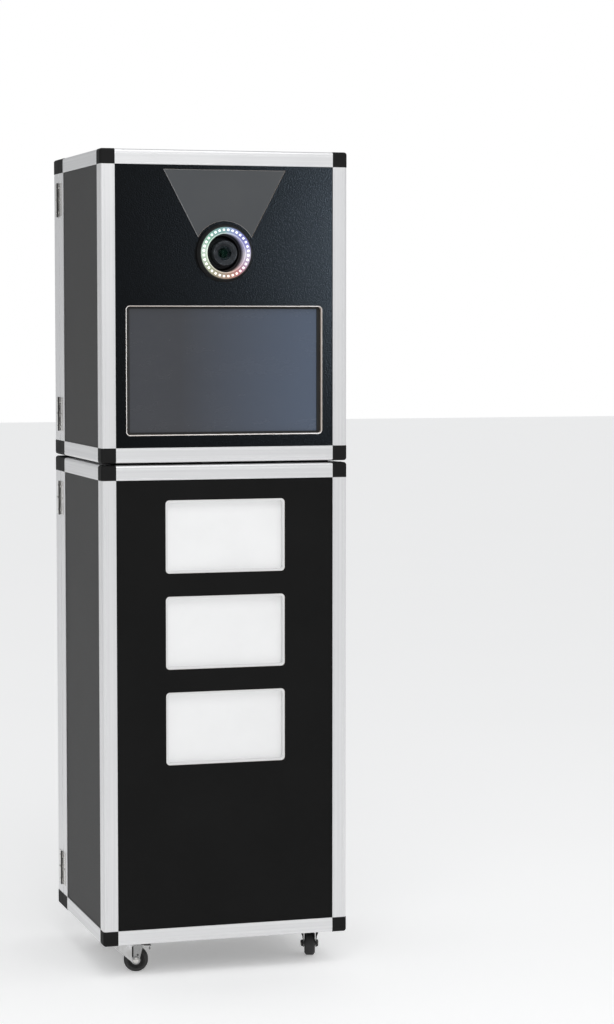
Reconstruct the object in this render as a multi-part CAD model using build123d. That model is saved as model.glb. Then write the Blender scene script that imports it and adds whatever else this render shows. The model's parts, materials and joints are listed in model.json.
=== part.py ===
from build123d import *
import math
import os

# Photo booth: a lower case on casters and a lift-off upper case, both built like
# flight cases from laminated board held in aluminium edge profiles.
# Millimetres, +Z up, front face towards -Y, origin on the floor under the centre.

# ---- driving dimensions -------------------------------------------------------------
case_width = 513.0
body_depth = 401.0
door_gap = 0.6
door_depth = 49.4
caster_height = 70.0
lower_height = 972.0
seam = 5.0
upper_height = 625.0

profile_leg = 30.0
profile_wall = 2.0
profile_radius = 5.0
rear_leg = 42.0
rear_return = 20.0
board = 9.0
lip = 1.5
lip_leg = 24.0
cap_proud = 0.6

half_width = case_width / 2
depth = body_depth + door_gap + door_depth
front = -depth / 2
body_back = front + body_depth
door_front = body_back + door_gap
back = depth / 2
low_z = caster_height
low_top = low_z + lower_height
up_z = low_top + seam
up_top = up_z + upper_height

board_outer = profile_wall
board_inner = profile_wall + board
board_edge = board_inner + lip
top_field = 0.4
panel_front = front + board_outer
panel_back = front + board_inner
side_face = half_width - board_outer

# lens port, smoked window and touch screen on the upper front panel
port_z = up_z + 420.0
ring_radius = 54.0
ring_base_radius = 58.5
ring_stand = 9.5
tunnel_radius = 39.0
tunnel_depth = 34.0
led_count = 32
led_circle = 46.5
window_top = up_top - 38.5
window_half_top = 127.0
window_half_low = 55.6
window_low = up_z + 450.7
window_arc = 63.5
screen_half = 203.0
screen_low = up_z + 56.0
screen_high = up_z + 312.6

# lit windows of the lower front panel
niche_half = 125.0
niche_height = 148.5
niche_pitch = 194.8
niche_lowest = low_z + 363.0
niche_rim = 4.5
niche_depth = 13.0

# casters
axis_x = 201.0
axis_front = front + 78.0
axis_rear = front + 334.0
wheel_radius = 25.0
wheel_width = 23.0
trail = 28.0

# door hinges on the left side
pin_x = -half_width - 2.5
pin_y = body_back + door_gap / 2
pin_radius = 1.2
knuckle_radius = 2.3
hinge_height = 70.0
leaf_width = 29.0
leaf_thick = 1.5

# mains inlet, print outlet and shelf in the lower case
outlet_y = -2.0
outlet_z = low_z + 318.0
outlet_length = 164.0
outlet_height = 46.0
inlet_y = body_back - 90.0
inlet_z = low_z + 95.0
shelf_z = low_z + 245.0
printer_size = (366.0, 275.0, 170.0)  # along X, along Y, height

parts = {}


# ---- helpers ------------------------------------------------------------------------
def span(x, y, z):
    """Box between two limits on each axis."""
    lows = [min(pair) for pair in (x, y, z)]
    sizes = [abs(pair[1] - pair[0]) for pair in (x, y, z)]
    middle = [low + size / 2 for low, size in zip(lows, sizes)]
    return Pos(*middle) * Box(*sizes)


def around(middle, half):
    """Limits at equal distances from a middle value."""
    return (middle - half, middle + half)


def rod(axis, centre, radius, limits):
    """Cylinder along an axis letter; centre gives the other two coordinates in order."""
    length = limits[1] - limits[0]
    middle = (limits[0] + limits[1]) / 2
    if axis == "X":
        return Pos(middle, centre[0], centre[1]) * Rot(0, 90, 0) * Cylinder(radius, length)
    if axis == "Y":
        return Pos(centre[0], middle, centre[1]) * Rot(90, 0, 0) * Cylinder(radius, length)
    return Pos(centre[0], centre[1], middle) * Cylinder(radius, length)


def cone_y(centre, y_wide, wide, y_narrow, narrow):
    """Truncated cone along Y, wide radius at y_wide and narrow radius at y_narrow."""
    height = abs(y_narrow - y_wide)
    turn = Rot(90, 0, 0) if y_narrow < y_wide else Rot(-90, 0, 0)
    return Pos(centre[0], (y_wide + y_narrow) / 2, centre[1]) * turn * Cone(wide, narrow, height)


def rounded_plate(x, y, z, radius):
    """Upright plate in the XZ plane with its four corners rounded."""
    plate = span(x, y, z)
    return fillet(plate.edges().filter_by(Axis.Y), radius)


def group(shapes):
    """Separate solids of one node."""
    solids = [solid for shape in shapes for solid in shape.solids()]
    return Compound(solids)


def edge_profile(axis, corner, signs, legs, limits):
    """Aluminium L extrusion with a board channel; signs point into the case."""

    def bar(p, q):
        a = (corner[0] + signs[0] * p[0], corner[0] + signs[0] * p[1])
        b = (corner[1] + signs[1] * q[0], corner[1] + signs[1] * q[1])
        if axis == "X":
            return span(limits, a, b)
        if axis == "Y":
            return span(a, limits, b)
        return span(a, b, limits)

    wall, inner = profile_wall, board_inner
    body = bar((0, legs[0]), (0, wall)) + bar((0, wall), (0, legs[1]))
    body += bar((wall, board_edge), (wall, board_edge))
    body += bar((inner, min(lip_leg, legs[0])), (inner, board_edge))
    body += bar((inner, board_edge), (inner, min(lip_leg, legs[1])))
    body -= bar((wall + 1.5, inner - 1.5), (wall + 1.5, inner - 1.5))
    middle = (limits[0] + limits[1]) / 2
    spot = {
        "X": (middle, corner[0], corner[1]),
        "Y": (corner[0], middle, corner[1]),
        "Z": (corner[0], corner[1], middle),
    }[axis]
    along = {"X": Axis.X, "Y": Axis.Y, "Z": Axis.Z}[axis]
    outer = body.edges().filter_by(along).sort_by_distance(spot)[0]
    return fillet(outer, profile_radius)


def corner_cap(corner, signs, legs, proud):
    """Moulded three-way corner with plugs that fit the hollow of each profile."""

    def cell(p, q, r):
        limits = []
        for place, sign, pair in zip(corner, signs, (p, q, r)):
            limits.append((place + sign * pair[0], place + sign * pair[1]))
        return span(*limits)

    wall, inner = profile_wall, board_inner
    shell = cell((-proud[0], legs[0]), (-proud[1], legs[1]), (-proud[2], legs[2]))
    spot = [place - sign * extra for place, sign, extra in zip(corner, signs, proud)]
    near = shell.edges().sort_by_distance(tuple(spot))[:3]
    if min(proud) == 0:
        near = near.filter_by(Axis.Y)
    shell = fillet(near, profile_radius + cap_proud)
    shell -= cell((wall, legs[0]), (wall, legs[1]), (wall, legs[2]))
    shell += cell((wall, inner), (wall, inner), (wall, inner))
    plug = (wall + 1.6, inner - 1.6)
    reach = 14.0
    shell += cell((inner, legs[0] + reach), plug, plug)
    shell += cell(plug, plug, (inner, legs[2] + reach))
    if min(proud) > 0 or legs[1] > profile_leg:
        shell += cell(plug, (inner, legs[1] + (reach if min(proud) > 0 else 0)), plug)
    return shell


def case_profiles(z0, z1):
    """The twelve edge extrusions of one case body."""
    sides = (-1, 1)
    legs = (profile_leg, profile_leg)
    upright = (z0 + profile_leg, z1 - profile_leg)
    across = (-half_width + profile_leg, half_width - profile_leg)
    along = (front + profile_leg, body_back - rear_leg)
    bars = []
    for side in sides:
        x = side * half_width
        bars.append(edge_profile("Z", (x, front), (-side, 1), legs, upright))
        bars.append(edge_profile("Z", (x, body_back), (-side, -1), (rear_return, rear_leg), upright))
    for z, inward in ((z0, 1), (z1, -1)):
        bars.append(edge_profile("X", (front, z), (1, inward), legs, across))
        bars.append(edge_profile("X", (body_back, z), (-1, inward), (rear_leg, rear_return), across))
        for side in sides:
            bars.append(edge_profile("Y", (side * half_width, z), (-side, inward), legs, along))
    return bars


def case_caps(z0, z1):
    """The eight corner mouldings of one case body."""
    caps = []
    for side in (-1, 1):
        for z, inward in ((z0, 1), (z1, -1)):
            front_corner = (side * half_width, front, z)
            rear_corner = (side * half_width, body_back, z)
            front_legs = (profile_leg,) * 3
            rear_legs = (profile_leg, rear_leg, profile_leg)
            caps.append(corner_cap(front_corner, (-side, 1, inward), front_legs, (cap_proud,) * 3))
            caps.append(corner_cap(rear_corner, (-side, -1, inward), rear_legs, (cap_proud, 0, cap_proud)))
    return caps


def door_frame(z0, z1):
    """Four extrusions around one rear door."""
    bars = []
    upright = (z0 + profile_leg, z1 - profile_leg)
    across = (-half_width + profile_leg, half_width - profile_leg)
    for side in (-1, 1):
        corner = (side * half_width, back)
        bars.append(edge_profile("Z", corner, (-side, -1), (profile_leg, door_depth), upright))
    for z, inward in ((z0, 1), (z1, -1)):
        bars.append(edge_profile("X", (back, z), (-1, inward), (door_depth, profile_leg), across))
    return bars


def door_caps(z0, z1):
    """Four corner mouldings of one rear door."""
    caps = []
    legs = (profile_leg, door_depth, profile_leg)
    for side in (-1, 1):
        for z, inward in ((z0, 1), (z1, -1)):
            corner = (side * half_width, back, z)
            shell = corner_cap(corner, (-side, -1, inward), legs, (cap_proud,) * 3)
            caps.append(shell & span((-300, 300), (door_front, back + 5), (z0 - 5, z1 + 5)))
    return caps


def side_board(side, z0, z1):
    """Laminated side panel, its edges inside the profile channels."""
    x = (side * (half_width - board_outer), side * (half_width - board_inner))
    y = (front + board_edge, body_back - board_edge)
    return span(x, y, (z0 + board_edge, z1 - board_edge))


def front_board(z0, z1):
    """Laminated front panel."""
    x = (-half_width + board_edge, half_width - board_edge)
    return span(x, (panel_front, panel_back), (z0 + board_edge, z1 - board_edge))


def deck_board(face_z, inward):
    """Top or bottom panel behind the face at face_z."""
    x = (-half_width + board_edge, half_width - board_edge)
    y = (front + board_edge, body_back - board_edge)
    return span(x, y, (face_z + inward * board_outer, face_z + inward * board_inner))


def door_board(z0, z1):
    """Laminated door panel."""
    x = (-half_width + board_edge, half_width - board_edge)
    y = (back - board_inner, back - board_outer)
    return span(x, y, (z0 + board_edge, z1 - board_edge))


# ---- the seam between the cases -----------------------------------------------------
cable_pass = (70.0, 46.0)
cable_y = 60.0
pin_spots = [(x, y) for x in (-190.0, 190.0) for y in (-150.0, 100.0)]
knob_y = 118.0
knob_shaft = 4.0


def cable_cut(z0, z1, grow=0.0):
    """Pass-through for the leads between the two cases."""
    half_x = cable_pass[0] / 2 + grow
    half_y = cable_pass[1] / 2 + grow
    cut = span((-half_x, half_x), (cable_y - half_y, cable_y + half_y), (z0, z1))
    return fillet(cut.edges().filter_by(Axis.Z), 6.0)


def seam_parts():
    """Decks that meet at the seam, the rubber mat, locating pins and the clamp knob."""
    lower_deck = deck_board(low_top, -1) - cable_cut(low_top - 20, low_top + 1)
    lower_deck -= rod("Z", (0, knob_y), knob_shaft + 0.1, (low_top - 20, low_top + 1))
    upper_deck = deck_board(up_z, 1) - cable_cut(up_z - 1, up_z + 20)
    upper_deck -= rod("Z", (0, knob_y), knob_shaft + 1.0, (up_z - 1, up_z + 20))
    inset = profile_leg
    mat_y = (front + inset, body_back - rear_leg)
    mat = span((-half_width + inset, half_width - inset), mat_y, (low_top - board_outer, up_z - 0.3))
    mat = fillet(mat.edges().filter_by(Axis.Z), 4.0)
    mat -= cable_cut(low_top - 5, up_z + 1)
    mat -= rod("Z", (0, knob_y), knob_shaft + 2.0, (low_top - 5, up_z + 1))
    pins = []
    for x, y in pin_spots:
        base = rod("Z", (x, y), 9.0, (low_top - board_outer, up_z + 3.0))
        nose = Pos(x, y, up_z + 8.0) * Cone(9.0, 5.5, 10.0)
        pins.append(base + nose)
        mat -= rod("Z", (x, y), 9.0, (low_top - 5, up_z + 1))
        upper_deck -= rod("Z", (x, y), 9.6, (up_z - 1, up_z + 20))
    knob_base = up_z + board_inner + 0.3
    knob = rod("Z", (0, knob_y), 9.0, (knob_base, knob_base + 10))
    head = rod("Z", (0, knob_y), 20.0, (knob_base + 10, knob_base + 26))
    for turn in range(5):
        angle = math.radians(72 * turn)
        spot = (22.0 * math.cos(angle), knob_y + 22.0 * math.sin(angle))
        head -= rod("Z", spot, 7.0, (knob_base + 9, knob_base + 27))
    knob += fillet(head.edges().filter_by(GeomType.CIRCLE).group_by(Axis.Z)[-1], 2.0)
    knob += rod("Z", (0, knob_y), knob_shaft, (low_top - board_inner + 0.5, knob_base))
    parts["lower_top_panel"] = lower_deck
    parts["upper_bottom_panel"] = upper_deck
    parts["stacking_mat"] = mat
    parts["locating_pins"] = group(pins)
    parts["clamp_knob"] = knob


# ---- lower case ---------------------------------------------------------------------
def lower_case_parts():
    """Shell of the lower case."""
    parts["lower_edge_profiles"] = group(case_profiles(low_z, low_top))
    parts["lower_corner_caps"] = group(case_caps(low_z, low_top))
    left = side_board(-1, low_z, low_top)
    right = side_board(1, low_z, low_top)
    right_x = (side_face - 50, side_face + 50)
    outlet_cut = (around(outlet_y, outlet_length / 2 + 3), around(outlet_z, outlet_height / 2 + 3))
    right -= span(right_x, *outlet_cut)
    right -= span(right_x, around(inlet_y, 15), around(inlet_z, 30))
    parts["lower_side_panels"] = group([left, right])
    panel = front_board(low_z, low_top)
    for row in range(3):
        z = niche_lowest + row * niche_pitch
        panel -= rounded_plate((-niche_half, niche_half), (front - 5, front + 30), (z, z + niche_height), 8.0)
    parts["lower_front_panel"] = panel
    parts["lower_bottom_panel"] = deck_board(low_z, 1)


def niche_parts():
    """White recessed trays of the lit windows, and the light panels behind them."""
    trays, lights = [], []
    for row in range(3):
        low = niche_lowest + row * niche_pitch
        z = (low + 0.2, low + niche_height - 0.2)
        x = (-niche_half + 0.2, niche_half - 0.2)
        floor = panel_front + niche_depth
        tray = rounded_plate(x, (panel_front + 0.4, floor), z, 7.8)
        rim_x = (-niche_half + niche_rim, niche_half - niche_rim)
        rim_z = (low + niche_rim, low + niche_height - niche_rim)
        tray -= rounded_plate(rim_x, (front - 5, floor + 1), rim_z, 5.0)
        flange_x = (-niche_half - 10, niche_half + 10)
        flange_z = (low - 10, low + niche_height + 10)
        flange = span(flange_x, (panel_back, floor), flange_z)
        flange -= rounded_plate(rim_x, (panel_back - 1, floor + 1), rim_z, 5.0)
        trays.append(tray + flange)
        lights.append(span(flange_x, (floor, floor + 8.0), flange_z))
    parts["niche_trays"] = group(trays)
    parts["niche_light_panels"] = group(lights)


def service_parts():
    """Shelf, printer, print outlet and mains inlet of the lower case."""
    x_in = half_width - board_inner
    y_shelf = (-150.0, body_back - rear_leg)
    shelf = span((-x_in, x_in), y_shelf, (shelf_z, shelf_z + 3))
    for side in (-1, 1):
        shelf += span((side * x_in, side * (x_in - 2)), y_shelf, (shelf_z - 28, shelf_z))
    shelf += span((-x_in, x_in), (y_shelf[1] - 2, y_shelf[1]), (shelf_z - 18, shelf_z))
    parts["printer_shelf"] = shelf
    length, width, height = printer_size
    foot = 4.0
    floor = shelf_z + 3 + foot
    x = (-length / 2 - 10, length / 2 - 10)
    y = around(outlet_y, width / 2)
    printer = fillet(span(x, y, (floor, floor + height)).edges().filter_by(Axis.X), 8.0)
    mouth_y = around(outlet_y, outlet_length / 2 - 4)
    mouth_z = around(outlet_z, outlet_height / 2 - 6)
    printer -= span((x[1] - 30, x[1] + 1), mouth_y, mouth_z)
    for foot_x in (x[0] + 30, x[1] - 30):
        for foot_y in (y[0] + 30, y[1] - 30):
            printer += rod("Z", (foot_x, foot_y), 12.0, (floor - foot, floor))
    parts["photo_printer"] = printer
    outlet_parts(x[1] + 2)
    inlet_parts()


def outlet_parts(inner_end):
    """Duct from the printer to the right side, with a flange on the outside."""
    half_y, half_z = outlet_length / 2, outlet_height / 2
    duct_x = (inner_end, side_face + 1.6)
    duct = span(duct_x, around(outlet_y, half_y + 2.5), around(outlet_z, half_z + 2.5))
    flange = span((side_face, side_face + 1.6), around(outlet_y, half_y + 14), around(outlet_z, half_z + 14))
    duct += fillet(flange.edges().filter_by(Axis.X), 6.0)
    bore_x = (duct_x[0] - 1, duct_x[1] + 1)
    parts["print_outlet"] = duct - span(bore_x, around(outlet_y, half_y), around(outlet_z, half_z))


def inlet_parts():
    """Mains inlet module with its rocker switch."""
    x = side_face
    body = span((x - 26, x), around(inlet_y, 14.5), around(inlet_z, 29.5))
    plate = span((x, x + 1.8), around(inlet_y, 20), around(inlet_z, 36))
    body += fillet(plate.edges().filter_by(Axis.X), 4.0)
    body -= span((x - 18, x + 3), around(inlet_y, 11), around(inlet_z - 15, 10))
    for y, z in ((-6.0, -17.0), (6.0, -17.0), (0.0, -12.0)):
        body += span((x - 18, x - 3), around(inlet_y + y, 1), around(inlet_z + z, 2))
    switch_z = inlet_z + 13.0
    body -= span((x - 12, x + 3), around(inlet_y, 11), around(switch_z, 9))
    parts["power_inlet"] = body
    nose = [(x - 9, switch_z - 5), (x + 1.5, switch_z - 7.8), (x + 2.4, switch_z)]
    nose += [(x + 1.5, switch_z + 7.8), (x - 9, switch_z + 5)]
    outline = make_face(Plane.XZ * Polyline(*nose, close=True))
    parts["rocker_switch"] = Pos(0, inlet_y, 0) * extrude(outline, 10.4, both=True)


# ---- upper case ---------------------------------------------------------------------
def window_outline(grow):
    """Trapezoid of the smoked window with an arc round the lens port; grow widens it."""
    slant = math.hypot(window_half_top - window_half_low, window_top - window_low)
    side_shift = grow * slant / (window_top - window_low)
    top = window_half_top + side_shift
    low = window_half_low + side_shift
    points = [(-top, window_top + grow), (top, window_top + grow), (low, window_low), (-low, window_low)]
    face = make_face(Polyline(*points, close=True))
    return face - Pos(0, port_z) * Circle(window_arc - grow)


def upright_extrude(face, y0, y1):
    """Extrudes an XZ outline between two depths."""
    placed = Plane(origin=(0, y0, 0), x_dir=(1, 0, 0), z_dir=(0, -1, 0)) * face
    return extrude(placed, -(y1 - y0))


def upper_case_parts():
    """Shell of the upper case with the openings of its front panel."""
    parts["upper_edge_profiles"] = group(case_profiles(up_z, up_top))
    parts["upper_corner_caps"] = group(case_caps(up_z, up_top))
    parts["upper_side_panels"] = group([side_board(-1, up_z, up_top), side_board(1, up_z, up_top)])
    field_x = (-half_width + profile_leg + 0.5, half_width - profile_leg - 0.5)
    field_y = (front + profile_leg + 0.5, body_back - rear_leg - 0.5)
    field_z = (up_top - board_outer - 1.0, up_top - board_outer + top_field)
    parts["upper_top_panel"] = deck_board(up_top, -1) + span(field_x, field_y, field_z)
    panel = front_board(up_z, up_top)
    screen_z = (screen_low, screen_high)
    panel -= rounded_plate((-screen_half, screen_half), (front - 5, front + 30), screen_z, 6.5)
    edges = panel.edges().group_by(Axis.Y)[0]
    inner = [edge for edge in edges if abs(edge.center().X) <= screen_half + 1]
    inner = [edge for edge in inner if screen_low - 1 <= edge.center().Z <= screen_high + 1]
    panel = chamfer(inner, 1.8)
    panel -= rod("Y", (0, port_z), tunnel_radius + 2.5, (front - 5, front + 30))
    panel -= upright_extrude(window_outline(0), panel_front - 1, panel_front + 3.8)
    panel -= upright_extrude(window_outline(-9), panel_front - 1, panel_back + 1)
    parts["upper_front_panel"] = panel
    pane = upright_extrude(window_outline(-0.4), panel_front + 0.5, panel_front + 3.5)
    front_edges = pane.edges().group_by(Axis.Y)[0]
    parts["smoked_window"] = chamfer(front_edges, 0.8)


def port_parts():
    """Ring light housing, LED ring and reflector tunnel of the lens port."""
    centre = (0, port_z)
    face_y = panel_front - ring_stand
    housing = cone_y(centre, panel_front, ring_base_radius, face_y, ring_radius)
    housing -= rod("Y", centre, tunnel_radius + 1.6, (face_y - 1, panel_front + 1))
    housing -= rod("Y", centre, ring_radius - 2.0, (face_y - 1, face_y + 3.2))
    parts["ring_housing"] = housing
    board_y = (face_y + 1.8, face_y + 3.2)
    ring = rod("Y", centre, ring_radius - 2.1, board_y)
    ring -= rod("Y", centre, tunnel_radius + 1.7, (board_y[0] - 1, board_y[1] + 1))
    parts["led_board"] = ring
    leds = []
    for index in range(led_count):
        chip = span((-2.5, 2.5), (board_y[0] - 1.6, board_y[0]), (led_circle - 2.5, led_circle + 2.5))
        turn = Rot(0, 360.0 * (index + 0.5) / led_count, 0)
        leds.append(Pos(0, 0, port_z) * turn * chip)
    parts["ring_leds"] = group(leds)
    rear_y = face_y + tunnel_depth
    tunnel = rod("Y", centre, tunnel_radius + 1.5, (face_y, rear_y))
    tunnel += rod("Y", centre, tunnel_radius + 12, (panel_back, panel_back + 2))
    tunnel += rod("Y", centre, tunnel_radius + 1.5, (rear_y - 2, rear_y))
    tunnel -= rod("Y", centre, tunnel_radius, (face_y - 1, rear_y - 2))
    tunnel -= rod("Y", centre, 35.0, (face_y - 1, rear_y + 1))
    parts["lens_tunnel"] = tunnel


lens_front = panel_front + 1.5
lens_nose = lens_front - 4.5
tilt_y = lens_front + 112.0
tilt_z = port_z - 62.0
tilt_pin = 3.0


def camera_parts():
    """Camera on its tilting foot, with lens barrel, zoom ring, front glass and bracket."""
    centre = (0, port_z)
    body_y = (lens_front + 84, lens_front + 132)
    body = span((-66, 66), body_y, (port_z - 46, port_z + 40))
    body = fillet(body.edges().filter_by(Axis.Y), 9.0)
    hump = span((-24, 24), (body_y[0] + 2, body_y[1] - 2), (port_z + 35, port_z + 62))
    body += chamfer(hump.edges().filter_by(Axis.Y).group_by(Axis.Z)[-1], 10.0)
    grip = span((-66, -40), (body_y[0] - 18, body_y[0] + 4), (port_z - 40, port_z + 30))
    body += fillet(grip.edges().filter_by(Axis.Z).group_by(Axis.Y)[0], 8.0)
    body += rod("Y", centre, 32.0, (body_y[0] - 4, body_y[0] + 1))
    foot = span((-22, 22), (tilt_y - 20, tilt_y + 20), (port_z - 51, port_z - 45))
    boss = span((-12, 12), (tilt_y - 8, tilt_y + 8), (tilt_z, port_z - 50))
    boss += rod("X", (tilt_y, tilt_z), 8.0, (-12, 12))
    body += foot + boss
    body -= rod("X", (tilt_y, tilt_z), tilt_pin + 0.05, (-20, 20))
    parts["camera_body"] = body
    barrel = rod("Y", centre, 25.0, (lens_nose, lens_front + 30))
    barrel += rod("Y", centre, 28.0, (lens_front + 26, lens_front + 80))
    barrel += rod("Y", centre, 31.5, (lens_front + 66, lens_front + 80))
    barrel += rod("Y", centre, 31.5, (lens_front + 28, lens_front + 40))
    barrel -= cone_y(centre, lens_nose - 0.01, 20.0, lens_nose + 5, 14.5)
    barrel -= rod("Y", centre, 14.5, (lens_nose + 4.9, lens_nose + 10))
    parts["lens_barrel"] = barrel
    zoom = rod("Y", centre, 31.8, (lens_front + 40.4, lens_front + 65.6))
    ribs = 36
    for index in range(ribs):
        angle = math.radians(360.0 * index / ribs)
        spot = (32.0 * math.cos(angle), port_z + 32.0 * math.sin(angle))
        zoom -= rod("Y", spot, 0.9, (lens_front + 43, lens_front + 63))
    zoom -= rod("Y", centre, 28.05, (lens_front + 40, lens_front + 66))
    parts["zoom_ring"] = zoom
    glass = rod("Y", centre, 14.4, (lens_nose + 4, lens_nose + 10))
    dome = Pos(0, lens_nose + 28, port_z) * Sphere(24.0)
    parts["lens_glass"] = glass & dome
    bracket_parts()


def bracket_parts():
    """Sheet bracket that carries the camera from the back of the front panel."""
    z = tilt_z - 12
    arm = span((-40, 40), (panel_back, tilt_y + 26), (z - 3, z))
    arm += span((-40, 40), (panel_back, panel_back + 3), (z - 22, z))
    for side in (-1, 1):
        ear = span((side * 12.6, side * 15.6), (tilt_y - 10, tilt_y + 10), (z - 1, tilt_z))
        ear += rod("X", (tilt_y, tilt_z), 10.0, sorted((side * 12.6, side * 15.6)))
        arm += ear
        rib = span((side * 38, side * 40), (panel_back, tilt_y), (z - 12, z))
        arm += rib
    arm -= rod("X", (tilt_y, tilt_z), tilt_pin + 0.02, (-20, 20))
    pin = rod("X", (tilt_y, tilt_z), tilt_pin, (-19, 16.5))
    pin += rod("X", (tilt_y, tilt_z), 8.0, (16.5, 24))
    parts["camera_bracket"] = group([arm, pin])


def screen_parts():
    """Gasket, touch glass and chassis of the monitor."""
    half_x, low, high = screen_half, screen_low, screen_high
    y = (panel_back, panel_back + 2.0)
    gasket = span((-half_x - 10, half_x + 10), y, (low - 10, high + 10))
    view_x = (-half_x + 7.5, half_x - 7.5)
    view_z = (low + 4.5, high - 4.5)
    gasket -= rounded_plate(view_x, (y[0] - 1, y[1] + 1), view_z, 2.0)
    parts["monitor_gasket"] = gasket
    glass_y = (y[1], y[1] + 3.0)
    parts["touch_glass"] = span((-half_x - 10, half_x + 10), glass_y, (low - 10, high + 10))
    chassis = span((-half_x - 8, half_x + 8), (glass_y[1], glass_y[1] + 34), (low - 8, high + 8))
    chassis = chamfer(chassis.edges().group_by(Axis.Y)[-1], 8.0)
    web_y = (panel_back, glass_y[1] + 20)
    for side in (-1, 1):
        flange_x = (side * (half_x + 10.5), side * (half_x + 26))
        web_x = (side * (half_x + 10.5), side * (half_x + 12.5))
        hook_x = (side * (half_x + 7), side * (half_x + 12.5))
        chassis += span(flange_x, (panel_back, panel_back + 3), (low, high))
        chassis += span(web_x, web_y, (low, high))
        chassis += span(hook_x, (web_y[1] - 6, web_y[1]), (low + 20, high - 20))
    parts["monitor_chassis"] = chassis


def flash_parts():
    """Flash lamp box behind the smoked window, above the lens port."""
    z = (port_z + 72, up_top - 28)
    y = (panel_back + 1, panel_back + 62)
    housing = span((-105, 105), y, z)
    housing = chamfer(housing.edges().group_by(Axis.Y)[-1], 14.0)
    housing -= span((-98, 98), (y[0] - 1, y[0] + 26), (z[0] + 6, z[1] - 6))
    for x in (-55, 0, 55):
        housing += span((x - 20, x + 20), (y[0] + 20, y[0] + 27), (z[0] + 20, z[1] - 20))
    parts["flash_lamp"] = housing


def computer_parts():
    """Small computer on the floor of the upper case."""
    z0 = up_z + board_inner
    case = span((-225, -45), (-90.0, 85.0), (z0 + 5, z0 + 45))
    case = fillet(case.edges().filter_by(Axis.Z), 10.0)
    for x in (-205, -65):
        for y in (-70.0, 65.0):
            case += rod("Z", (x, y), 7.0, (z0, z0 + 6))
    for row in range(9):
        x = -215 + row * 19
        case -= span((x, x + 8), (-60.0, 55.0), (z0 + 43, z0 + 46))
    parts["mini_computer"] = case


# ---- rear doors ---------------------------------------------------------------------
hinge_heights = {
    "lower": (low_z + 85.7, low_z + 884.5),
    "upper": (up_z + 86.5, up_z + 539.0),
}


def hinge_leaves(name):
    """Fixed leaves with their pins, and the leaves that move with the door."""
    fixed, moving = [], []
    step = hinge_height / 5
    face_x = -half_width
    for middle in hinge_heights[name]:
        low = middle - hinge_height / 2
        leaf_x = (face_x - leaf_thick, face_x)
        still = span(leaf_x, (pin_y - leaf_width, pin_y - knuckle_radius - 0.3), (low, low + hinge_height))
        swing = span(leaf_x, (pin_y + knuckle_radius + 0.3, pin_y + leaf_width), (low, low + hinge_height))
        for index in range(5):
            z = (low + index * step + 0.15, low + (index + 1) * step - 0.15)
            knuckle = rod("Z", (pin_x, pin_y), knuckle_radius, z)
            if index % 2 == 0:
                arm_y = (pin_y - knuckle_radius - 1.0, pin_y)
                still += knuckle + span(leaf_x, arm_y, z)
            else:
                arm_y = (pin_y, pin_y + knuckle_radius + 1.0)
                swing += knuckle + span(leaf_x, arm_y, z)
        bore_z = (low - 1, low + hinge_height + 1)
        still -= rod("Z", (pin_x, pin_y), pin_radius + 0.02, bore_z)
        swing -= rod("Z", (pin_x, pin_y), pin_radius + 0.12, bore_z)
        pin = rod("Z", (pin_x, pin_y), pin_radius, (low - 1.0, low + hinge_height + 1.0))
        for end in (low - 0.6, low + hinge_height + 0.6):
            pin += rod("Z", (pin_x, pin_y), knuckle_radius - 0.2, (end - 0.5, end + 0.5))
        fixed += [still, pin]
        moving.append(swing)
    return group(fixed), group(moving)


latch_x = half_width - 52.0
latch_shaft = 6.0
blade_reach = 38.0


def door_latch(middle):
    """T handle, spindle and cam blade of a quarter-turn latch, standing unlocked."""
    face = back - board_outer + 1.8
    latch = rod("Y", (latch_x, middle), latch_shaft, (door_front + 1, face + 6))
    bar = span((latch_x - 7, latch_x + 7), (face + 5, face + 13), (middle - 28, middle + 28))
    latch += fillet(bar.edges().filter_by(Axis.Y), 6.0)
    blade_z = (middle - 9, middle + blade_reach)
    blade = span(around(latch_x, 9), (body_back - 7.5, body_back - 3.3), blade_z)
    latch += fillet(blade.edges().filter_by(Axis.Y), 7.0)
    return latch + rod("Y", (latch_x, middle), latch_shaft, (body_back - 8, door_front + 2))


def door_parts(name, z0, z1):
    """One rear door with its frame, corners, hinge leaves and latch."""
    middle = (z0 + z1) / 2
    face = back - board_outer
    hole = rod("Y", (latch_x, middle), latch_shaft + 0.05, (face - 20, face + 5))
    parts[name + "_door_panel"] = group([door_board(z0, z1) - hole])
    parts[name + "_door_frame"] = group(door_frame(z0, z1))
    parts[name + "_door_caps"] = group(door_caps(z0, z1))
    fixed, moving = hinge_leaves(name)
    parts[name + "_hinge_fixed_leaves"] = fixed
    parts[name + "_hinge_door_leaves"] = moving
    parts[name + "_latch"] = door_latch(middle)


# ---- casters ------------------------------------------------------------------------
# Rest direction of each fork's trail, in degrees from +X.
casters = {
    "front_left": (-axis_x, axis_front, -13.0, True),
    "front_right": (axis_x, axis_front, 73.0, True),
    "rear_left": (-axis_x, axis_rear, -13.0, False),
    "rear_right": (axis_x, axis_rear, 60.0, False),
}
plate_top = caster_height - 0.8
plate_bottom = plate_top - 2.5
kingpin = 4.0
axle = 4.0
leg_gap = 12.5
leg_thick = 2.0
leg_outer = leg_gap + leg_thick
brake_u = 33.5
brake_z = 54.5
brake_pin = 2.0


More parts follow.
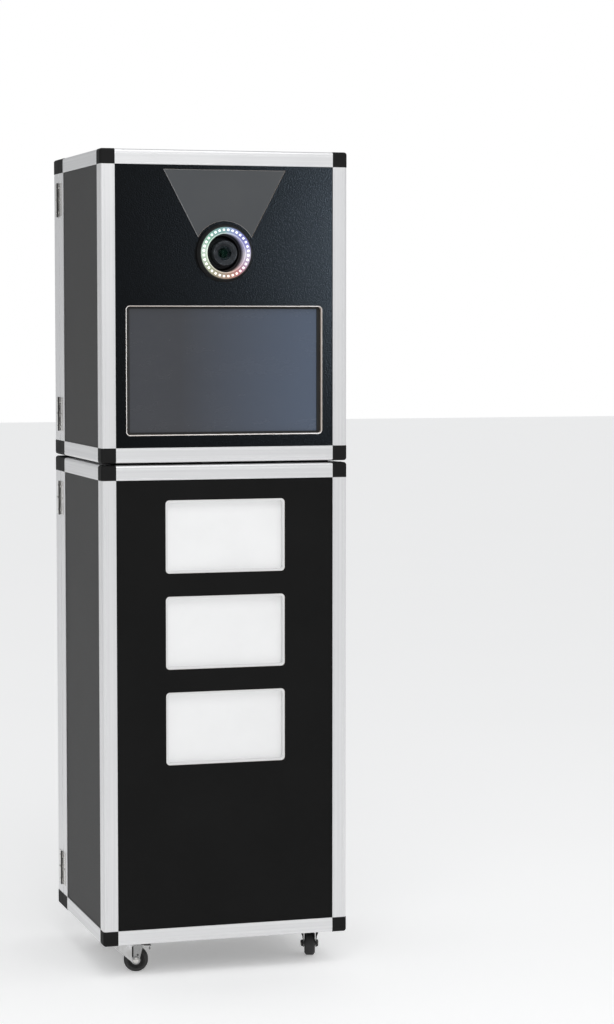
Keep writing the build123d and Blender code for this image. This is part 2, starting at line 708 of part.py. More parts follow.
def caster_plate(x, y):
    """Mounting plate with packer, upper bearing race and riveted kingpin."""
    plate = span((x - 30, x + 30), (y - 30, y + 30), (plate_bottom, plate_top))
    plate = fillet(plate.edges().filter_by(Axis.Z), 4.0)
    inner_x = half_width - profile_leg
    packer_y = (front + profile_leg, body_back - rear_leg)
    packer = span((-inner_x, inner_x), packer_y, (plate_top, caster_height + board_outer))
    plate += packer & span((x - 30, x + 30), (y - 30, y + 30), (caster_height - 1, caster_height + 3))
    for dx in (-22.5, 22.5):
        for dy in (-22.5, 22.5):
            plate -= rod("Z", (x + dx, y + dy), 3.2, (plate_bottom - 1, caster_height + 3))
    plate += rod("Z", (x, y), 20.0, (plate_bottom - 3.3, plate_bottom))
    plate += rod("Z", (x, y), kingpin, (57.0, plate_bottom))
    return plate + rod("Z", (x, y), 6.5, (55.0, 58.4))


def fork_leg():
    """Side outline of a fork leg, slotted between its stem and the brake carrier."""
    stem = [(-17, 62.7), (20, 62.7), (20, 21), (-17, 53)]
    carrier = [(23, 62.7), (38, 62.7), (42, 52), (37, 32), (34, 19), (23, 19)]
    leg = Pos(trail, leg_outer, wheel_radius) * Rot(90, 0, 0) * Cylinder(9.0, leg_thick)
    leg = Pos(0, -leg_thick / 2, 0) * leg
    for corners in (stem, carrier):
        face = make_face(Plane.XZ * Polyline(*corners, close=True))
        leg += Pos(0, leg_gap, 0) * extrude(face, leg_thick, dir=(0, 1, 0))
    apron = [(leg_gap, 45.0), (leg_outer, 45.0), (19.5, 59.0), (19.5, 60.7), (leg_gap, 60.7)]
    face = make_face(Plane.YZ * Polyline(*apron, close=True))
    return leg + Pos(-10, 0, 0) * extrude(face, 2.0)


def caster_fork(braked):
    """Pressed fork with crown and legs, the axle bolt and the brake pin, trail along +X."""
    crown = rod("Z", (0, 0), 20.0, (58.8, 63.0))
    crown += span((0, 33), (-leg_outer, leg_outer), (60.7, 62.7))
    left = fork_leg()
    fork = crown + left + mirror(left, Plane.XZ)
    fork -= rod("Z", (0, 0), kingpin + 0.05, (50, 70))
    fork -= rod("Z", (0, 0), 7.0, (50, 58.75))
    fork -= rod("Y", (trail, wheel_radius), axle + 0.02, (-30, 30))
    fork -= rod("Y", (brake_u, brake_z), brake_pin + 0.02, (-30, 30))
    bolt = rod("Y", (trail, wheel_radius), axle, (-leg_outer - 2, leg_outer + 4))
    bolt += rod("Y", (trail, wheel_radius), 7.0, (leg_outer, leg_outer + 3.5))
    bolt += rod("Y", (trail, wheel_radius), 7.5, (-leg_outer - 3.0, -leg_outer))
    pin = rod("Y", (brake_u, brake_z), brake_pin, (-leg_outer - 0.6, leg_outer + 0.6))
    return [fork, bolt, pin] if braked else [fork, bolt]


def brake_pedal():
    """Foot pedal with its shoe, pivoting between the fork legs."""
    pedal = rod("Y", (brake_u, brake_z), 3.8, (-10.6, 10.6))
    pedal += span((brake_u, brake_u + 13), (-8, 8), (brake_z - 0.8, brake_z + 1.0))
    pedal += span((brake_u + 11, brake_u + 21.5), (-16, 16), (brake_z - 0.8, brake_z + 1.0))
    pedal += span((brake_u + 1, brake_u + 6), (-8, 8), (brake_z - 4.6, brake_z))
    curl = rod("Y", (brake_u + 21.5, brake_z - 4.0), 5.0, (-16, 16))
    curl -= rod("Y", (brake_u + 21.5, brake_z - 4.0), 3.2, (-17, 17))
    curl -= span((brake_u + 10, brake_u + 21.5), (-17, 17), (brake_z - 10, brake_z - 2.4))
    pedal += curl
    pedal -= rod("Y", (brake_u, brake_z), brake_pin + 0.05, (-12, 12))
    return pedal


def caster_wheel():
    """Wheel with a rounded tread and stepped hub, axle along Y."""
    wheel = rod("Y", (trail, wheel_radius), wheel_radius, (-wheel_width / 2, wheel_width / 2))
    rims = wheel.edges().filter_by(GeomType.CIRCLE)
    wheel = fillet(rims, 3.5)
    face = wheel_width / 2
    for side in (-1, 1):
        groove = rod("Y", (trail, wheel_radius), 15.5, sorted((side * (face - 1.6), side * (face + 0.1))))
        groove -= rod("Y", (trail, wheel_radius), 9.0, sorted((side * (face - 2), side * (face + 1))))
        wheel -= groove
    wheel += rod("Y", (trail, wheel_radius), 7.0, (-face - 0.7, face + 0.7))
    return wheel - rod("Y", (trail, wheel_radius), axle + 0.05, (-face - 2, face + 2))


def caster_parts():
    """All four swivel casters."""
    plates = []
    for name, (x, y, heading, braked) in casters.items():
        place = Pos(x, y, 0) * Rot(0, 0, heading)
        plates.append(caster_plate(x, y))
        solids = caster_fork(braked)
        parts["fork_" + name] = group([place * solid for solid in solids])
        parts["wheel_" + name] = place * caster_wheel()
        if braked:
            parts["brake_" + name] = place * brake_pedal()
    parts["caster_plates"] = group(plates)


# ---- build and write ----------------------------------------------------------------
lower_case_parts()
niche_parts()
service_parts()
seam_parts()
upper_case_parts()
port_parts()
camera_parts()
screen_parts()
flash_parts()
computer_parts()
door_parts("lower", low_z, low_top)
door_parts("upper", up_z, up_top)
caster_parts()

os.makedirs("parts", exist_ok=True)
for node, shape in parts.items():
    export_step(shape, "parts/" + node + ".step")
print(len(parts), "nodes written")
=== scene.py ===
import json
import math

import bmesh
import bpy
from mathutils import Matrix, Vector


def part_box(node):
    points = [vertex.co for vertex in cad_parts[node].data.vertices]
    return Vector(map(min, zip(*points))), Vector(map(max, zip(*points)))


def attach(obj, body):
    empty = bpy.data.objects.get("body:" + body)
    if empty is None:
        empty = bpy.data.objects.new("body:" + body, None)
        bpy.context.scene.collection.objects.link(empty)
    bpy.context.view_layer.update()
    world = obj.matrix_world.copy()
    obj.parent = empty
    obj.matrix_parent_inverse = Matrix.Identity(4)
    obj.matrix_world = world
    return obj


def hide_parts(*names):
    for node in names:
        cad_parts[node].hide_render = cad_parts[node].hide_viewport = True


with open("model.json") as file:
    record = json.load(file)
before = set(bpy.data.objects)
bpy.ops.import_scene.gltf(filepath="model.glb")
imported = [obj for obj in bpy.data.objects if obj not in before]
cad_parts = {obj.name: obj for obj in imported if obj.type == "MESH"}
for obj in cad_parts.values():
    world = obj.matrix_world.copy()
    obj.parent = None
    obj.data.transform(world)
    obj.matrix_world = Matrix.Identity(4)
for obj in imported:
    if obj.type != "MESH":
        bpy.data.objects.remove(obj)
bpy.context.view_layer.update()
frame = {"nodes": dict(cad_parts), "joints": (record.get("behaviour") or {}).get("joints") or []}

nodes = frame["nodes"]
joints = {joint["name"]: joint for joint in frame["joints"]}
scene = bpy.context.scene
mm = 0.001
print("frame loaded:", len(nodes), "nodes")


# camera at eye height, a little left of the booth
cameraSettings = {
    "place": (-1.4436, -5.5497, 1.3301),
    "turn": (86.008, 0.0, -16.877),
    "lens": 96.06,
    "sensor": 36.0,
}


def makeCamera(settings):
    data = bpy.data.cameras.new("boothCamera")
    data.lens = settings["lens"]
    data.sensor_width = settings["sensor"]
    camera = bpy.data.objects.new("boothCamera", data)
    camera.location = settings["place"]
    camera.rotation_euler = [math.radians(angle) for angle in settings["turn"]]
    scene.collection.objects.link(camera)
    scene.camera = camera


makeCamera(cameraSettings)


# ---------- node helpers ----------
def grey(value, tint=(1.0, 1.0, 1.0)):
    return (value * tint[0], value * tint[1], value * tint[2], 1.0)


def putNode(tree, kind, inputs=None, **settings):
    made = tree.nodes.new("ShaderNode" + kind)
    for key, value in settings.items():
        setattr(made, key, value)
    for key, value in (inputs or {}).items():
        socket = made.inputs[key]
        if isinstance(value, bpy.types.NodeSocket):
            tree.links.new(value, socket)
        else:
            socket.default_value = value
    return made


def calc(tree, operation, *values):
    inputs = dict(enumerate(values))
    return putNode(tree, "Math", inputs, operation=operation).outputs[0]


def rangeOf(tree, value, fromLow, fromHigh, toLow=0.0, toHigh=1.0):
    inputs = {"Value": value, "From Min": fromLow, "From Max": fromHigh, "To Min": toLow, "To Max": toHigh}
    return putNode(tree, "MapRange", inputs).outputs["Result"]


def mixColour(tree, factor, first, second):
    return putNode(tree, "Mix", {0: factor, 6: first, 7: second}, data_type="RGBA").outputs[2]


def scaled(tree, vector, scale):
    return putNode(tree, "VectorMath", {0: vector, 1: scale}, operation="MULTIPLY").outputs[0]


def noise(tree, vector, scale, detail=3.0, roughness=0.5):
    inputs = {"Vector": vector, "Scale": scale, "Detail": detail, "Roughness": roughness}
    return putNode(tree, "TexNoise", inputs).outputs[0]


def newGroup(name, inputs, outputs):
    tree = bpy.data.node_groups.new(name, "ShaderNodeTree")
    for label, kind, value in inputs:
        socket = tree.interface.new_socket(label, in_out="INPUT", socket_type="NodeSocket" + kind)
        if value is not None:
            socket.default_value = value
    for label, kind in outputs:
        tree.interface.new_socket(label, in_out="OUTPUT", socket_type="NodeSocket" + kind)
    return tree, tree.nodes.new("NodeGroupInput").outputs, tree.nodes.new("NodeGroupOutput").inputs


def useGroup(tree, group, inputs):
    made = tree.nodes.new("ShaderNodeGroup")
    made.node_tree = group
    for key, value in inputs.items():
        if isinstance(value, bpy.types.NodeSocket):
            tree.links.new(value, made.inputs[key])
        else:
            made.inputs[key].default_value = value
    return made.outputs


# ---------- shared effects ----------
def makeEdgeWearAndHighlight():
    # brighter along edges, broken up by noise: rubbed wear, and on the lens barrel a painted highlight
    tree, given, out = newGroup(
        "edgeWearAndHighlight",
        [
            ("Vector", "Vector", None),
            ("Width", "Float", 0.0015),
            ("Break Up", "Float", 90.0),
            ("Amount", "Float", 0.5),
        ],
        [("Mask", "Float")],
    )
    rounded = putNode(tree, "Bevel", {"Radius": given["Width"]}, samples=4).outputs[0]
    facing = putNode(tree, "NewGeometry").outputs["Normal"]
    dot = putNode(tree, "VectorMath", {0: rounded, 1: facing}, operation="DOT_PRODUCT").outputs["Value"]
    edge = rangeOf(tree, dot, 0.995, 0.90)
    patch = rangeOf(tree, noise(tree, given["Vector"], given["Break Up"], 5.0, 0.6), 0.38, 0.62)
    mask = calc(tree, "MULTIPLY", calc(tree, "MULTIPLY", edge, patch), given["Amount"])
    tree.links.new(mask, out["Mask"])
    return tree


def makeDieLines():
    # long fine lines of an extrusion; the vector runs along, across
    tree, given, out = newGroup(
        "dieLines",
        [("Vector", "Vector", None), ("Pitch", "Float", 0.0007)],
        [("Height", "Float"), ("Tone", "Float")],
    )
    stretch = putNode(tree, "CombineXYZ", {0: 0.004, 1: 1.0, 2: 1.0}).outputs[0]
    stretched = {0: given["Vector"], 1: stretch}
    lengthwise = putNode(tree, "VectorMath", stretched, operation="MULTIPLY").outputs[0]
    fine = noise(tree, lengthwise, calc(tree, "DIVIDE", 1.0, given["Pitch"]), 2.0)
    broad = noise(tree, lengthwise, calc(tree, "DIVIDE", 0.12, given["Pitch"]), 3.0)
    tree.links.new(fine, out["Height"])
    tone = calc(tree, "ADD", calc(tree, "MULTIPLY", fine, 0.4), calc(tree, "MULTIPLY", broad, 0.6))
    tree.links.new(tone, out["Tone"])
    return tree


def makeMouldGrain():
    # fine spark-eroded grain of moulded plastic and powder coat
    tree, given, out = newGroup(
        "mouldGrain",
        [("Vector", "Vector", None), ("Size", "Float", 0.0006)],
        [("Height", "Float"), ("Patch", "Float")],
    )
    scale = calc(tree, "DIVIDE", 1.0, given["Size"])
    cells = putNode(tree, "TexVoronoi", {"Vector": given["Vector"], "Scale": scale}, feature="F1").outputs[0]
    speck = noise(tree, given["Vector"], scale, 3.0, 0.6)
    height = calc(tree, "ADD", calc(tree, "MULTIPLY", cells, 0.6), calc(tree, "MULTIPLY", speck, 0.4))
    tree.links.new(height, out["Height"])
    tree.links.new(noise(tree, given["Vector"], 14.0, 4.0, 0.6), out["Patch"])
    return tree


def makeHammered():
    # pebbled press plate texture of the laminate
    tree, given, out = newGroup(
        "hammered",
        [("Vector", "Vector", None), ("Size", "Float", 0.003), ("Warp", "Float", 0.6)],
        [("Height", "Float"), ("Valley", "Float")],
    )
    scale = calc(tree, "DIVIDE", 1.0, given["Size"])
    wander = {"Vector": given["Vector"], "Scale": scale, "Detail": 2.0}
    drift = putNode(tree, "TexNoise", wander).outputs["Color"]
    amount = calc(tree, "MULTIPLY", given["Size"], given["Warp"])
    push = putNode(tree, "VectorMath", {0: drift, "Scale": amount}, operation="SCALE").outputs[0]
    warped = putNode(tree, "VectorMath", {0: given["Vector"], 1: push}, operation="ADD").outputs[0]
    pebble = putNode(
        tree, "TexVoronoi", {"Vector": warped, "Scale": scale, "Smoothness": 0.6}, feature="SMOOTH_F1"
    ).outputs[0]
    small = noise(tree, given["Vector"], calc(tree, "MULTIPLY", scale, 3.0), 3.0, 0.6)
    valley = rangeOf(tree, pebble, 0.15, 0.75)
    height = calc(tree, "SUBTRACT", calc(tree, "MULTIPLY", small, 0.35), valley)
    tree.links.new(height, out["Height"])
    tree.links.new(valley, out["Valley"])
    return tree


def makeRainbow():
    # light colours round the ring, from the height and side of the point about the lens
    tree, given, out = newGroup(
        "ringColours", [("Vector", "Vector", None), ("Centre Height", "Float", 1.467)], [("Color", "Color")]
    )
    split = putNode(tree, "SeparateXYZ", {0: given["Vector"]}).outputs
    rise = calc(tree, "SUBTRACT", split["Z"], given["Centre Height"])
    angle = calc(tree, "ARCTAN2", split["X"], rise)
    share = calc(tree, "FRACT", calc(tree, "ADD", calc(tree, "DIVIDE", angle, 2 * math.pi), 1.0))
    ramp = putNode(tree, "ValToRGB", {0: share})
    stops = ringLight["colours"]
    for index, (position, colour) in enumerate(stops):
        if index < 2:
            element = ramp.color_ramp.elements[index]
            element.position = position
        else:
            element = ramp.color_ramp.elements.new(position)
        element.color = (*colour, 1.0)
    tree.links.new(ramp.outputs[0], out["Color"])
    return tree


ringLight = {
    "dome": {"strength": 2.0, "white": 0.50, "base": 0.9},
    "package": {"strength": 0.62, "white": 0.20, "base": 0.5},
    # the ring board's glow is painted light from the chips
    "board": {"strength": 0.52, "white": 0.04, "base": 0.16},
    # the tunnel's colour and glow are painted light from the ring near the mouth, and painted shade to black
    # further in
    "tunnel": {
        "paintedGlow": 0.22,
        "bright": 12.0 * mm,
        "dark": 33.0 * mm,
        "deep": grey(0.004),
        "pale": grey(0.8, (1.0, 0.97, 0.92)),
        "roughness": (0.35, 0.5),
    },
    "colours": [
        (0.0, (0.24, 0.50, 0.62)),
        (0.06, (0.22, 0.30, 0.72)),
        (0.13, (0.08, 0.10, 0.62)),
        (0.20, (0.22, 0.20, 0.74)),
        (0.26, (0.82, 0.78, 1.0)),
        (0.31, (0.66, 0.48, 0.74)),
        (0.36, (0.52, 0.20, 0.34)),
        (0.41, (0.60, 0.08, 0.07)),
        (0.46, (0.50, 0.18, 0.07)),
        (0.52, (0.40, 0.24, 0.12)),
        (0.62, (0.40, 0.42, 0.22)),
        (0.70, (0.62, 0.80, 0.58)),
        (0.77, (0.78, 1.0, 0.84)),
        (0.86, (0.16, 0.52, 0.34)),
        (0.94, (0.16, 0.46, 0.44)),
    ],
}

edgeWearAndHighlight = makeEdgeWearAndHighlight()
dieLines = makeDieLines()
mouldGrain = makeMouldGrain()
hammered = makeHammered()
ringColours = makeRainbow()
print("shared effects ready")


# ---------- materials ----------
def newMaterial(name, sockets):
    material = bpy.data.materials.new(name)
    material.use_nodes = True
    tree = material.node_tree
    shader = tree.nodes["Principled BSDF"]
    for key, value in sockets.items():
        shader.inputs[key].default_value = value
    return material, tree, shader.inputs


def objectVector(tree):
    return putNode(tree, "TexCoord").outputs["Object"]


def bumped(tree, height, distance, strength=1.0, under=None):
    inputs = {"Height": height, "Distance": distance, "Strength": strength}
    if under is not None:
        inputs["Normal"] = under
    return putNode(tree, "Bump", inputs).outputs[0]


def mouldedPlastic(name, look):
    material, tree, shader = newMaterial(name, look.get("sockets", {}))
    vector = objectVector(tree)
    grain = useGroup(tree, mouldGrain, {"Vector": vector, "Size": look["grain"]})
    wornAndHighlit = useGroup(tree, edgeWearAndHighlight, {"Vector": vector, "Width": look["wearAndHighlightWidth"], "Amount": look["wearAndHighlight"]})
    tone = rangeOf(tree, grain["Patch"], 0.3, 0.7)
    body = mixColour(tree, tone, look["colour"], look["shade"])
    tree.links.new(mixColour(tree, wornAndHighlit["Mask"], body, look["wornAndHighlit"]), shader["Base Color"])
    tree.links.new(rangeOf(tree, grain["Patch"], 0.3, 0.7, *look["roughness"]), shader["Roughness"])
    tree.links.new(bumped(tree, grain["Height"], look["depth"]), shader["Normal"])
    return material


def platedMetal(name, look):
    material, tree, shader = newMaterial(name, {"Metallic": 1.0})
    vector = objectVector(tree)
    grain = useGroup(tree, mouldGrain, {"Vector": vector, "Size": look["grain"]})
    wornAndHighlit = useGroup(tree, edgeWearAndHighlight, {"Vector": vector, "Width": look["wearAndHighlightWidth"], "Amount": look["wearAndHighlight"]})
    smudge = rangeOf(tree, noise(tree, vector, look["smudge"], 5.0, 0.62), 0.32, 0.68)
    body = mixColour(tree, smudge, look["colour"], look["shade"])
    tree.links.new(mixColour(tree, wornAndHighlit["Mask"], body, look["wornAndHighlit"]), shader["Base Color"])
    tree.links.new(rangeOf(tree, smudge, 0.0, 1.0, *look["roughness"]), shader["Roughness"])
    tree.links.new(bumped(tree, grain["Height"], look["depth"]), shader["Normal"])
    return material


def anodised(name, look):
    # brushed along each bar by the barPlace attribute: along, across, bar number
    material, tree, shader = newMaterial(name, {"Metallic": look["metallic"]})
    place = putNode(tree, "Attribute", attribute_name="barPlace").outputs["Vector"]
    vector = objectVector(tree)
    lines = useGroup(tree, dieLines, {"Vector": place, "Pitch": look["pitch"]})
    wornAndHighlit = useGroup(tree, edgeWearAndHighlight, {"Vector": vector, "Width": look["wearAndHighlightWidth"], "Amount": look["wearAndHighlight"]})
    tone = rangeOf(tree, lines["Tone"], 0.35, 0.65)
    body = mixColour(tree, tone, look["colour"], look["shade"])
    tree.links.new(mixColour(tree, wornAndHighlit["Mask"], body, look["wornAndHighlit"]), shader["Base Color"])
    haze = rangeOf(tree, noise(tree, vector, 9.0, 4.0), 0.3, 0.7, 0.0, 0.06)
    rough = calc(tree, "ADD", rangeOf(tree, lines["Tone"], 0.3, 0.7, *look["roughness"]), haze)
    tree.links.new(rough, shader["Roughness"])
    tree.links.new(bumped(tree, lines["Height"], look["depth"]), shader["Normal"])
    return material


def laminatedBoard(name, look):
    # pressed laminate on plywood; cut faces turn to the side or slant and show the core
    material, tree, shader = newMaterial(name, {"Specular IOR Level": look["specular"]})
    vector = objectVector(tree)
    press = useGroup(tree, hammered, {"Vector": vector, "Size": look["pebble"]})
    patch = noise(tree, vector, 6.0, 5.0, 0.6)
    skin = mixColour(tree, rangeOf(tree, patch, 0.3, 0.7), look["colour"], look["shade"])
    # the pebble valleys are darkened, painted shade
    valley = calc(tree, "MULTIPLY", press["Valley"], look["valley"])
    skin = mixColour(tree, valley, skin, look["valleyPaintedShade"])
    split = putNode(tree, "SeparateXYZ", {0: putNode(tree, "TexCoord").outputs["Normal"]}).outputs
    straight = calc(tree, "ABSOLUTE", split[look["facing"]])
    cut = rangeOf(tree, straight, 0.95, 0.85)
    depthwise = putNode(tree, "SeparateXYZ", {0: vector}).outputs[look["facing"]]
    ply = calc(tree, "SINE", calc(tree, "MULTIPLY", depthwise, 2 * math.pi / (3.0 * mm)))
    fibre = noise(tree, scaled(tree, vector, (1.0, 1.0, 8.0)), 160.0, 4.0)
    layer = rangeOf(tree, calc(tree, "ADD", calc(tree, "MULTIPLY", ply, 0.25), fibre), 0.2, 0.8)
    core = mixColour(tree, layer, look["core"], look["coreShade"])
    tree.links.new(mixColour(tree, cut, skin, core), shader["Base Color"])
    rough = rangeOf(tree, press["Valley"], 0.0, 1.0, *look["roughness"])
    tree.links.new(calc(tree, "ADD", rough, calc(tree, "MULTIPLY", cut, 0.25)), shader["Roughness"])
    flatCut = calc(tree, "SUBTRACT", 1.0, cut)
    height = calc(tree, "MULTIPLY", press["Height"], flatCut)
    tree.links.new(bumped(tree, height, look["depth"]), shader["Normal"])
    return material


materials = {}
materials["edge_aluminium"] = anodised(
    "satinAluminium",
    {
        "metallic": 0.9,
        "colour": grey(0.86, (1.0, 1.0, 1.005)),
        "shade": grey(0.76, (1.0, 1.0, 1.01)),
        "wornAndHighlit": grey(0.95),
        "roughness": (0.36, 0.5),
        "pitch": 0.8 * mm,
        "depth": 0.02 * mm,
        "wearAndHighlight": 0.5,
        "wearAndHighlightWidth": 0.9 * mm,
    },
)

charcoalBoard = {
    "specular": 0.16,
    "colour": grey(0.047),
    "shade": grey(0.053),
    "valley": 0.10,
    "valleyPaintedShade": grey(0.038),
    "roughness": (0.52, 0.62),
    "pebble": 1.1 * mm,
    "depth": 0.05 * mm,
    "core": (0.42, 0.30, 0.19, 1.0),
    "coreShade": (0.26, 0.17, 0.10, 1.0),
}
smoothBoard = {
    "specular": 0.12,
    "colour": grey(0.0045),
    "shade": grey(0.0065),
    "valley": 0.10,
    "valleyPaintedShade": grey(0.006),
    "roughness": (0.55, 0.66),
    "pebble": 0.9 * mm,
    "depth": 0.04 * mm,
    "core": (0.50, 0.42, 0.36, 1.0),
    "coreShade": (0.36, 0.29, 0.24, 1.0),
}
hammeredBoard = {
    "specular": 0.06,
    "colour": grey(0.0012, (0.9, 1.0, 1.1)),
    "shade": grey(0.0018, (0.9, 1.0, 1.1)),
    "valley": 0.35,
    "valleyPaintedShade": grey(0.001),
    "roughness": (0.27, 0.42),
    "pebble": 2.6 * mm,
    "depth": 0.22 * mm,
    "core": (0.50, 0.42, 0.36, 1.0),
    "coreShade": (0.36, 0.29, 0.24, 1.0),
}
# finish, its look and the axis that its flat face looks along
boards = (
    ("side_laminate", charcoalBoard, "X"),
    ("deck_laminate", charcoalBoard, "Z"),
    ("door_laminate", charcoalBoard, "Y"),
    ("smooth_front_board", smoothBoard, "Y"),
    ("textured_front_board", hammeredBoard, "Y"),
)
for finish, look, facing in boards:
    materials[finish] = laminatedBoard(finish, {**look, "facing": facing})

plasticLooks = {
    "corner_plastic": {
        "colour": grey(0.0125),
        "shade": grey(0.0165),
        "wornAndHighlit": grey(0.05),
        "roughness": (0.55, 0.68),
        "grain": 0.9 * mm,
        "depth": 0.05 * mm,
        "wearAndHighlight": 0.3,
        "wearAndHighlightWidth": 1.4 * mm,
        "sockets": {"Specular IOR Level": 0.07},
    },
    "white_tray": {
        "colour": grey(0.80),
        "shade": grey(0.77),
        "wornAndHighlit": grey(0.86),
        "roughness": (0.38, 0.48),
        "grain": 0.7 * mm,
        "depth": 0.02 * mm,
        "wearAndHighlight": 0.2,
        "wearAndHighlightWidth": 0.8 * mm,
    },
    "mat_rubber": {
        "colour": grey(0.010),
        "shade": grey(0.014),
        "wornAndHighlit": grey(0.03),
        "roughness": (0.75, 0.9),
        "grain": 1.2 * mm,
        "depth": 0.10 * mm,
        "wearAndHighlight": 0.3,
        "wearAndHighlightWidth": 1.0 * mm,
        "sockets": {"Specular IOR Level": 0.2},
    },
    "wheel_rubber": {
        "colour": grey(0.030),
        "shade": grey(0.046),
        "wornAndHighlit": grey(0.09),
        "roughness": (0.55, 0.75),
        "grain": 0.8 * mm,
        "depth": 0.04 * mm,
        "wearAndHighlight": 0.45,
        "wearAndHighlightWidth": 1.4 * mm,
        "sockets": {"Specular IOR Level": 0.3},
    },
    "knob_plastic": {
        "colour": grey(0.012),
        "shade": grey(0.018),
        "wornAndHighlit": grey(0.06),
        "roughness": (0.36, 0.5),
        "grain": 0.6 * mm,
        "depth": 0.03 * mm,
        "wearAndHighlight": 0.35,
        "wearAndHighlightWidth": 0.7 * mm,
        "sockets": {"Specular IOR Level": 0.3},
    },
    # on the lens barrel the wide, strong edge brightening is a painted highlight of the concentric rings
    "lens_black": {
        "colour": grey(0.022, (0.9, 1.0, 1.15)),
        "shade": grey(0.032, (0.9, 1.0, 1.15)),
        "wornAndHighlit": grey(0.20, (0.92, 1.0, 1.08)),
        "roughness": (0.24, 0.34),
        "grain": 0.35 * mm,
        "depth": 0.008 * mm,
        "wearAndHighlight": 0.95,
        "wearAndHighlightWidth": 0.8 * mm,
        "sockets": {"Specular IOR Level": 0.12},
    },
    "device_plastic": {
        "colour": grey(0.050, (0.97, 1.0, 1.05)),
        "shade": grey(0.062, (0.97, 1.0, 1.05)),
        "wornAndHighlit": grey(0.12),
        "roughness": (0.42, 0.58),
        "grain": 0.8 * mm,
        "depth": 0.05 * mm,
        "wearAndHighlight": 0.3,
        "wearAndHighlightWidth": 0.9 * mm,
    },
    "shelf_metal": {
        "colour": grey(0.17),
        "shade": grey(0.21),
        "wornAndHighlit": grey(0.5),
        "roughness": (0.42, 0.55),
        "grain": 0.9 * mm,
        "depth": 0.05 * mm,
        "wearAndHighlight": 0.45,
        "wearAndHighlightWidth": 0.7 * mm,
    },
    "circuit_board": {
        "colour": grey(0.72),
        "shade": grey(0.64),
        "wornAndHighlit": grey(0.60, (1.0, 0.85, 0.5)),
        "roughness": (0.30, 0.42),
        "grain": 0.5 * mm,
        "depth": 0.01 * mm,
        "wearAndHighlight": 0.3,
        "wearAndHighlightWidth": 0.3 * mm,
    },
}
for slotName, look in plasticLooks.items():
    materials[slotName] = mouldedPlastic(slotName.replace("_", " ").title().replace(" ", ""), look)

metalLooks = {
    "zinc_steel": {
        "colour": grey(0.66, (1.0, 1.0, 1.02)),
        "shade": grey(0.50, (1.0, 0.99, 0.97)),
        "wornAndHighlit": grey(0.85),
        "roughness": (0.22, 0.40),
        "grain": 0.8 * mm,
        "depth": 0.01 * mm,
        "wearAndHighlight": 0.5,
        "wearAndHighlightWidth": 0.5 * mm,
        "smudge": 60.0,
    },
    "latch_metal": {
        "colour": grey(0.70, (1.0, 0.98, 0.95)),
        "shade": grey(0.58, (1.0, 0.98, 0.95)),
        "wornAndHighlit": grey(0.88),
        "roughness": (0.14, 0.28),
        "grain": 0.6 * mm,
        "depth": 0.006 * mm,
        "wearAndHighlight": 0.4,
        "wearAndHighlightWidth": 0.6 * mm,
        "smudge": 45.0,
    },
    "black_steel": {
        "colour": grey(0.10),
        "shade": grey(0.06),
        "wornAndHighlit": grey(0.35),
        "roughness": (0.3, 0.45),
        "grain": 0.5 * mm,
        "depth": 0.01 * mm,
        "wearAndHighlight": 0.5,
        "wearAndHighlightWidth": 0.3 * mm,
        "smudge": 80.0,
    },
    "brass": {
        "colour": (0.72, 0.55, 0.26, 1.0),
        "shade": (0.60, 0.43, 0.18, 1.0),
        "wornAndHighlit": (0.85, 0.7, 0.4, 1.0),
        "roughness": (0.2, 0.35),
        "grain": 0.5 * mm,
        "depth": 0.006 * mm,
        "wearAndHighlight": 0.4,
        "wearAndHighlightWidth": 0.3 * mm,
        "smudge": 70.0,
    },
}
for slotName, look in metalLooks.items():
    materials[slotName] = platedMetal(slotName.replace("_", " ").title().replace(" ", ""), look)


def shadedSteel(name, base, look):
    # plated steel darkened over given areas (painted shade on the forks, a darker barrel on the hinges); each
    # area is (vector kind, direction, from, to, grey)
    material = materials[base].copy()
    material.name = name
    tree = material.node_tree
    shader = tree.nodes["Principled BSDF"].inputs
    colour = shader["Base Color"].links[0].from_socket
    coords = putNode(tree, "TexCoord").outputs
    for kind, direction, start, end, shade in look:
        measured = {0: coords[kind], 1: direction}
        reach = putNode(tree, "VectorMath", measured, operation="DOT_PRODUCT").outputs["Value"]
        if kind == "Normal":
            reach = calc(tree, "ABSOLUTE", reach)
        colour = mixColour(tree, rangeOf(tree, reach, start, end), colour, grey(shade))
    tree.links.new(colour, shader["Base Color"])
    return material


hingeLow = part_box("upper_hinge_door_leaves")[0]
barrelFace = -hingeLow.x - 2.9 * mm
materials["hinge_steel"] = shadedSteel(
    "hingeSteel", "latch_metal", [("Object", (-1.0, 0.0, 0.0), barrelFace, barrelFace + 0.5 * mm, 0.05)]
)
casterNames = ("front_left", "front_right", "rear_left", "rear_right")
for spot in casterNames:
    rollAxis = Vector(joints[spot + "_roll"]["axis"])
    trail = Vector((rollAxis.y, -rollAxis.x, 0.0))
    pivot = Vector(joints[spot + "_swivel"]["pos_m"]).dot(trail)
    # the fork crown top and the faces looking along the trail are painted dark as painted shade under the
    # case; the carrier is darker beyond 20.5 mm along the trail
    areas = [
        ("Object", tuple(trail), pivot + 20.5 * mm, pivot + 22.5 * mm, 0.33),
        ("Object", (0.0, 0.0, 1.0), 57.5 * mm, 58.8 * mm, 0.06),
        ("Normal", tuple(trail), 0.3, 0.5, 0.03),
    ]
    materials["fork_" + spot] = shadedSteel("forkSteelPaintedShade_" + spot, "zinc_steel", areas)
print("boards, plastics and metals ready:", len(materials))


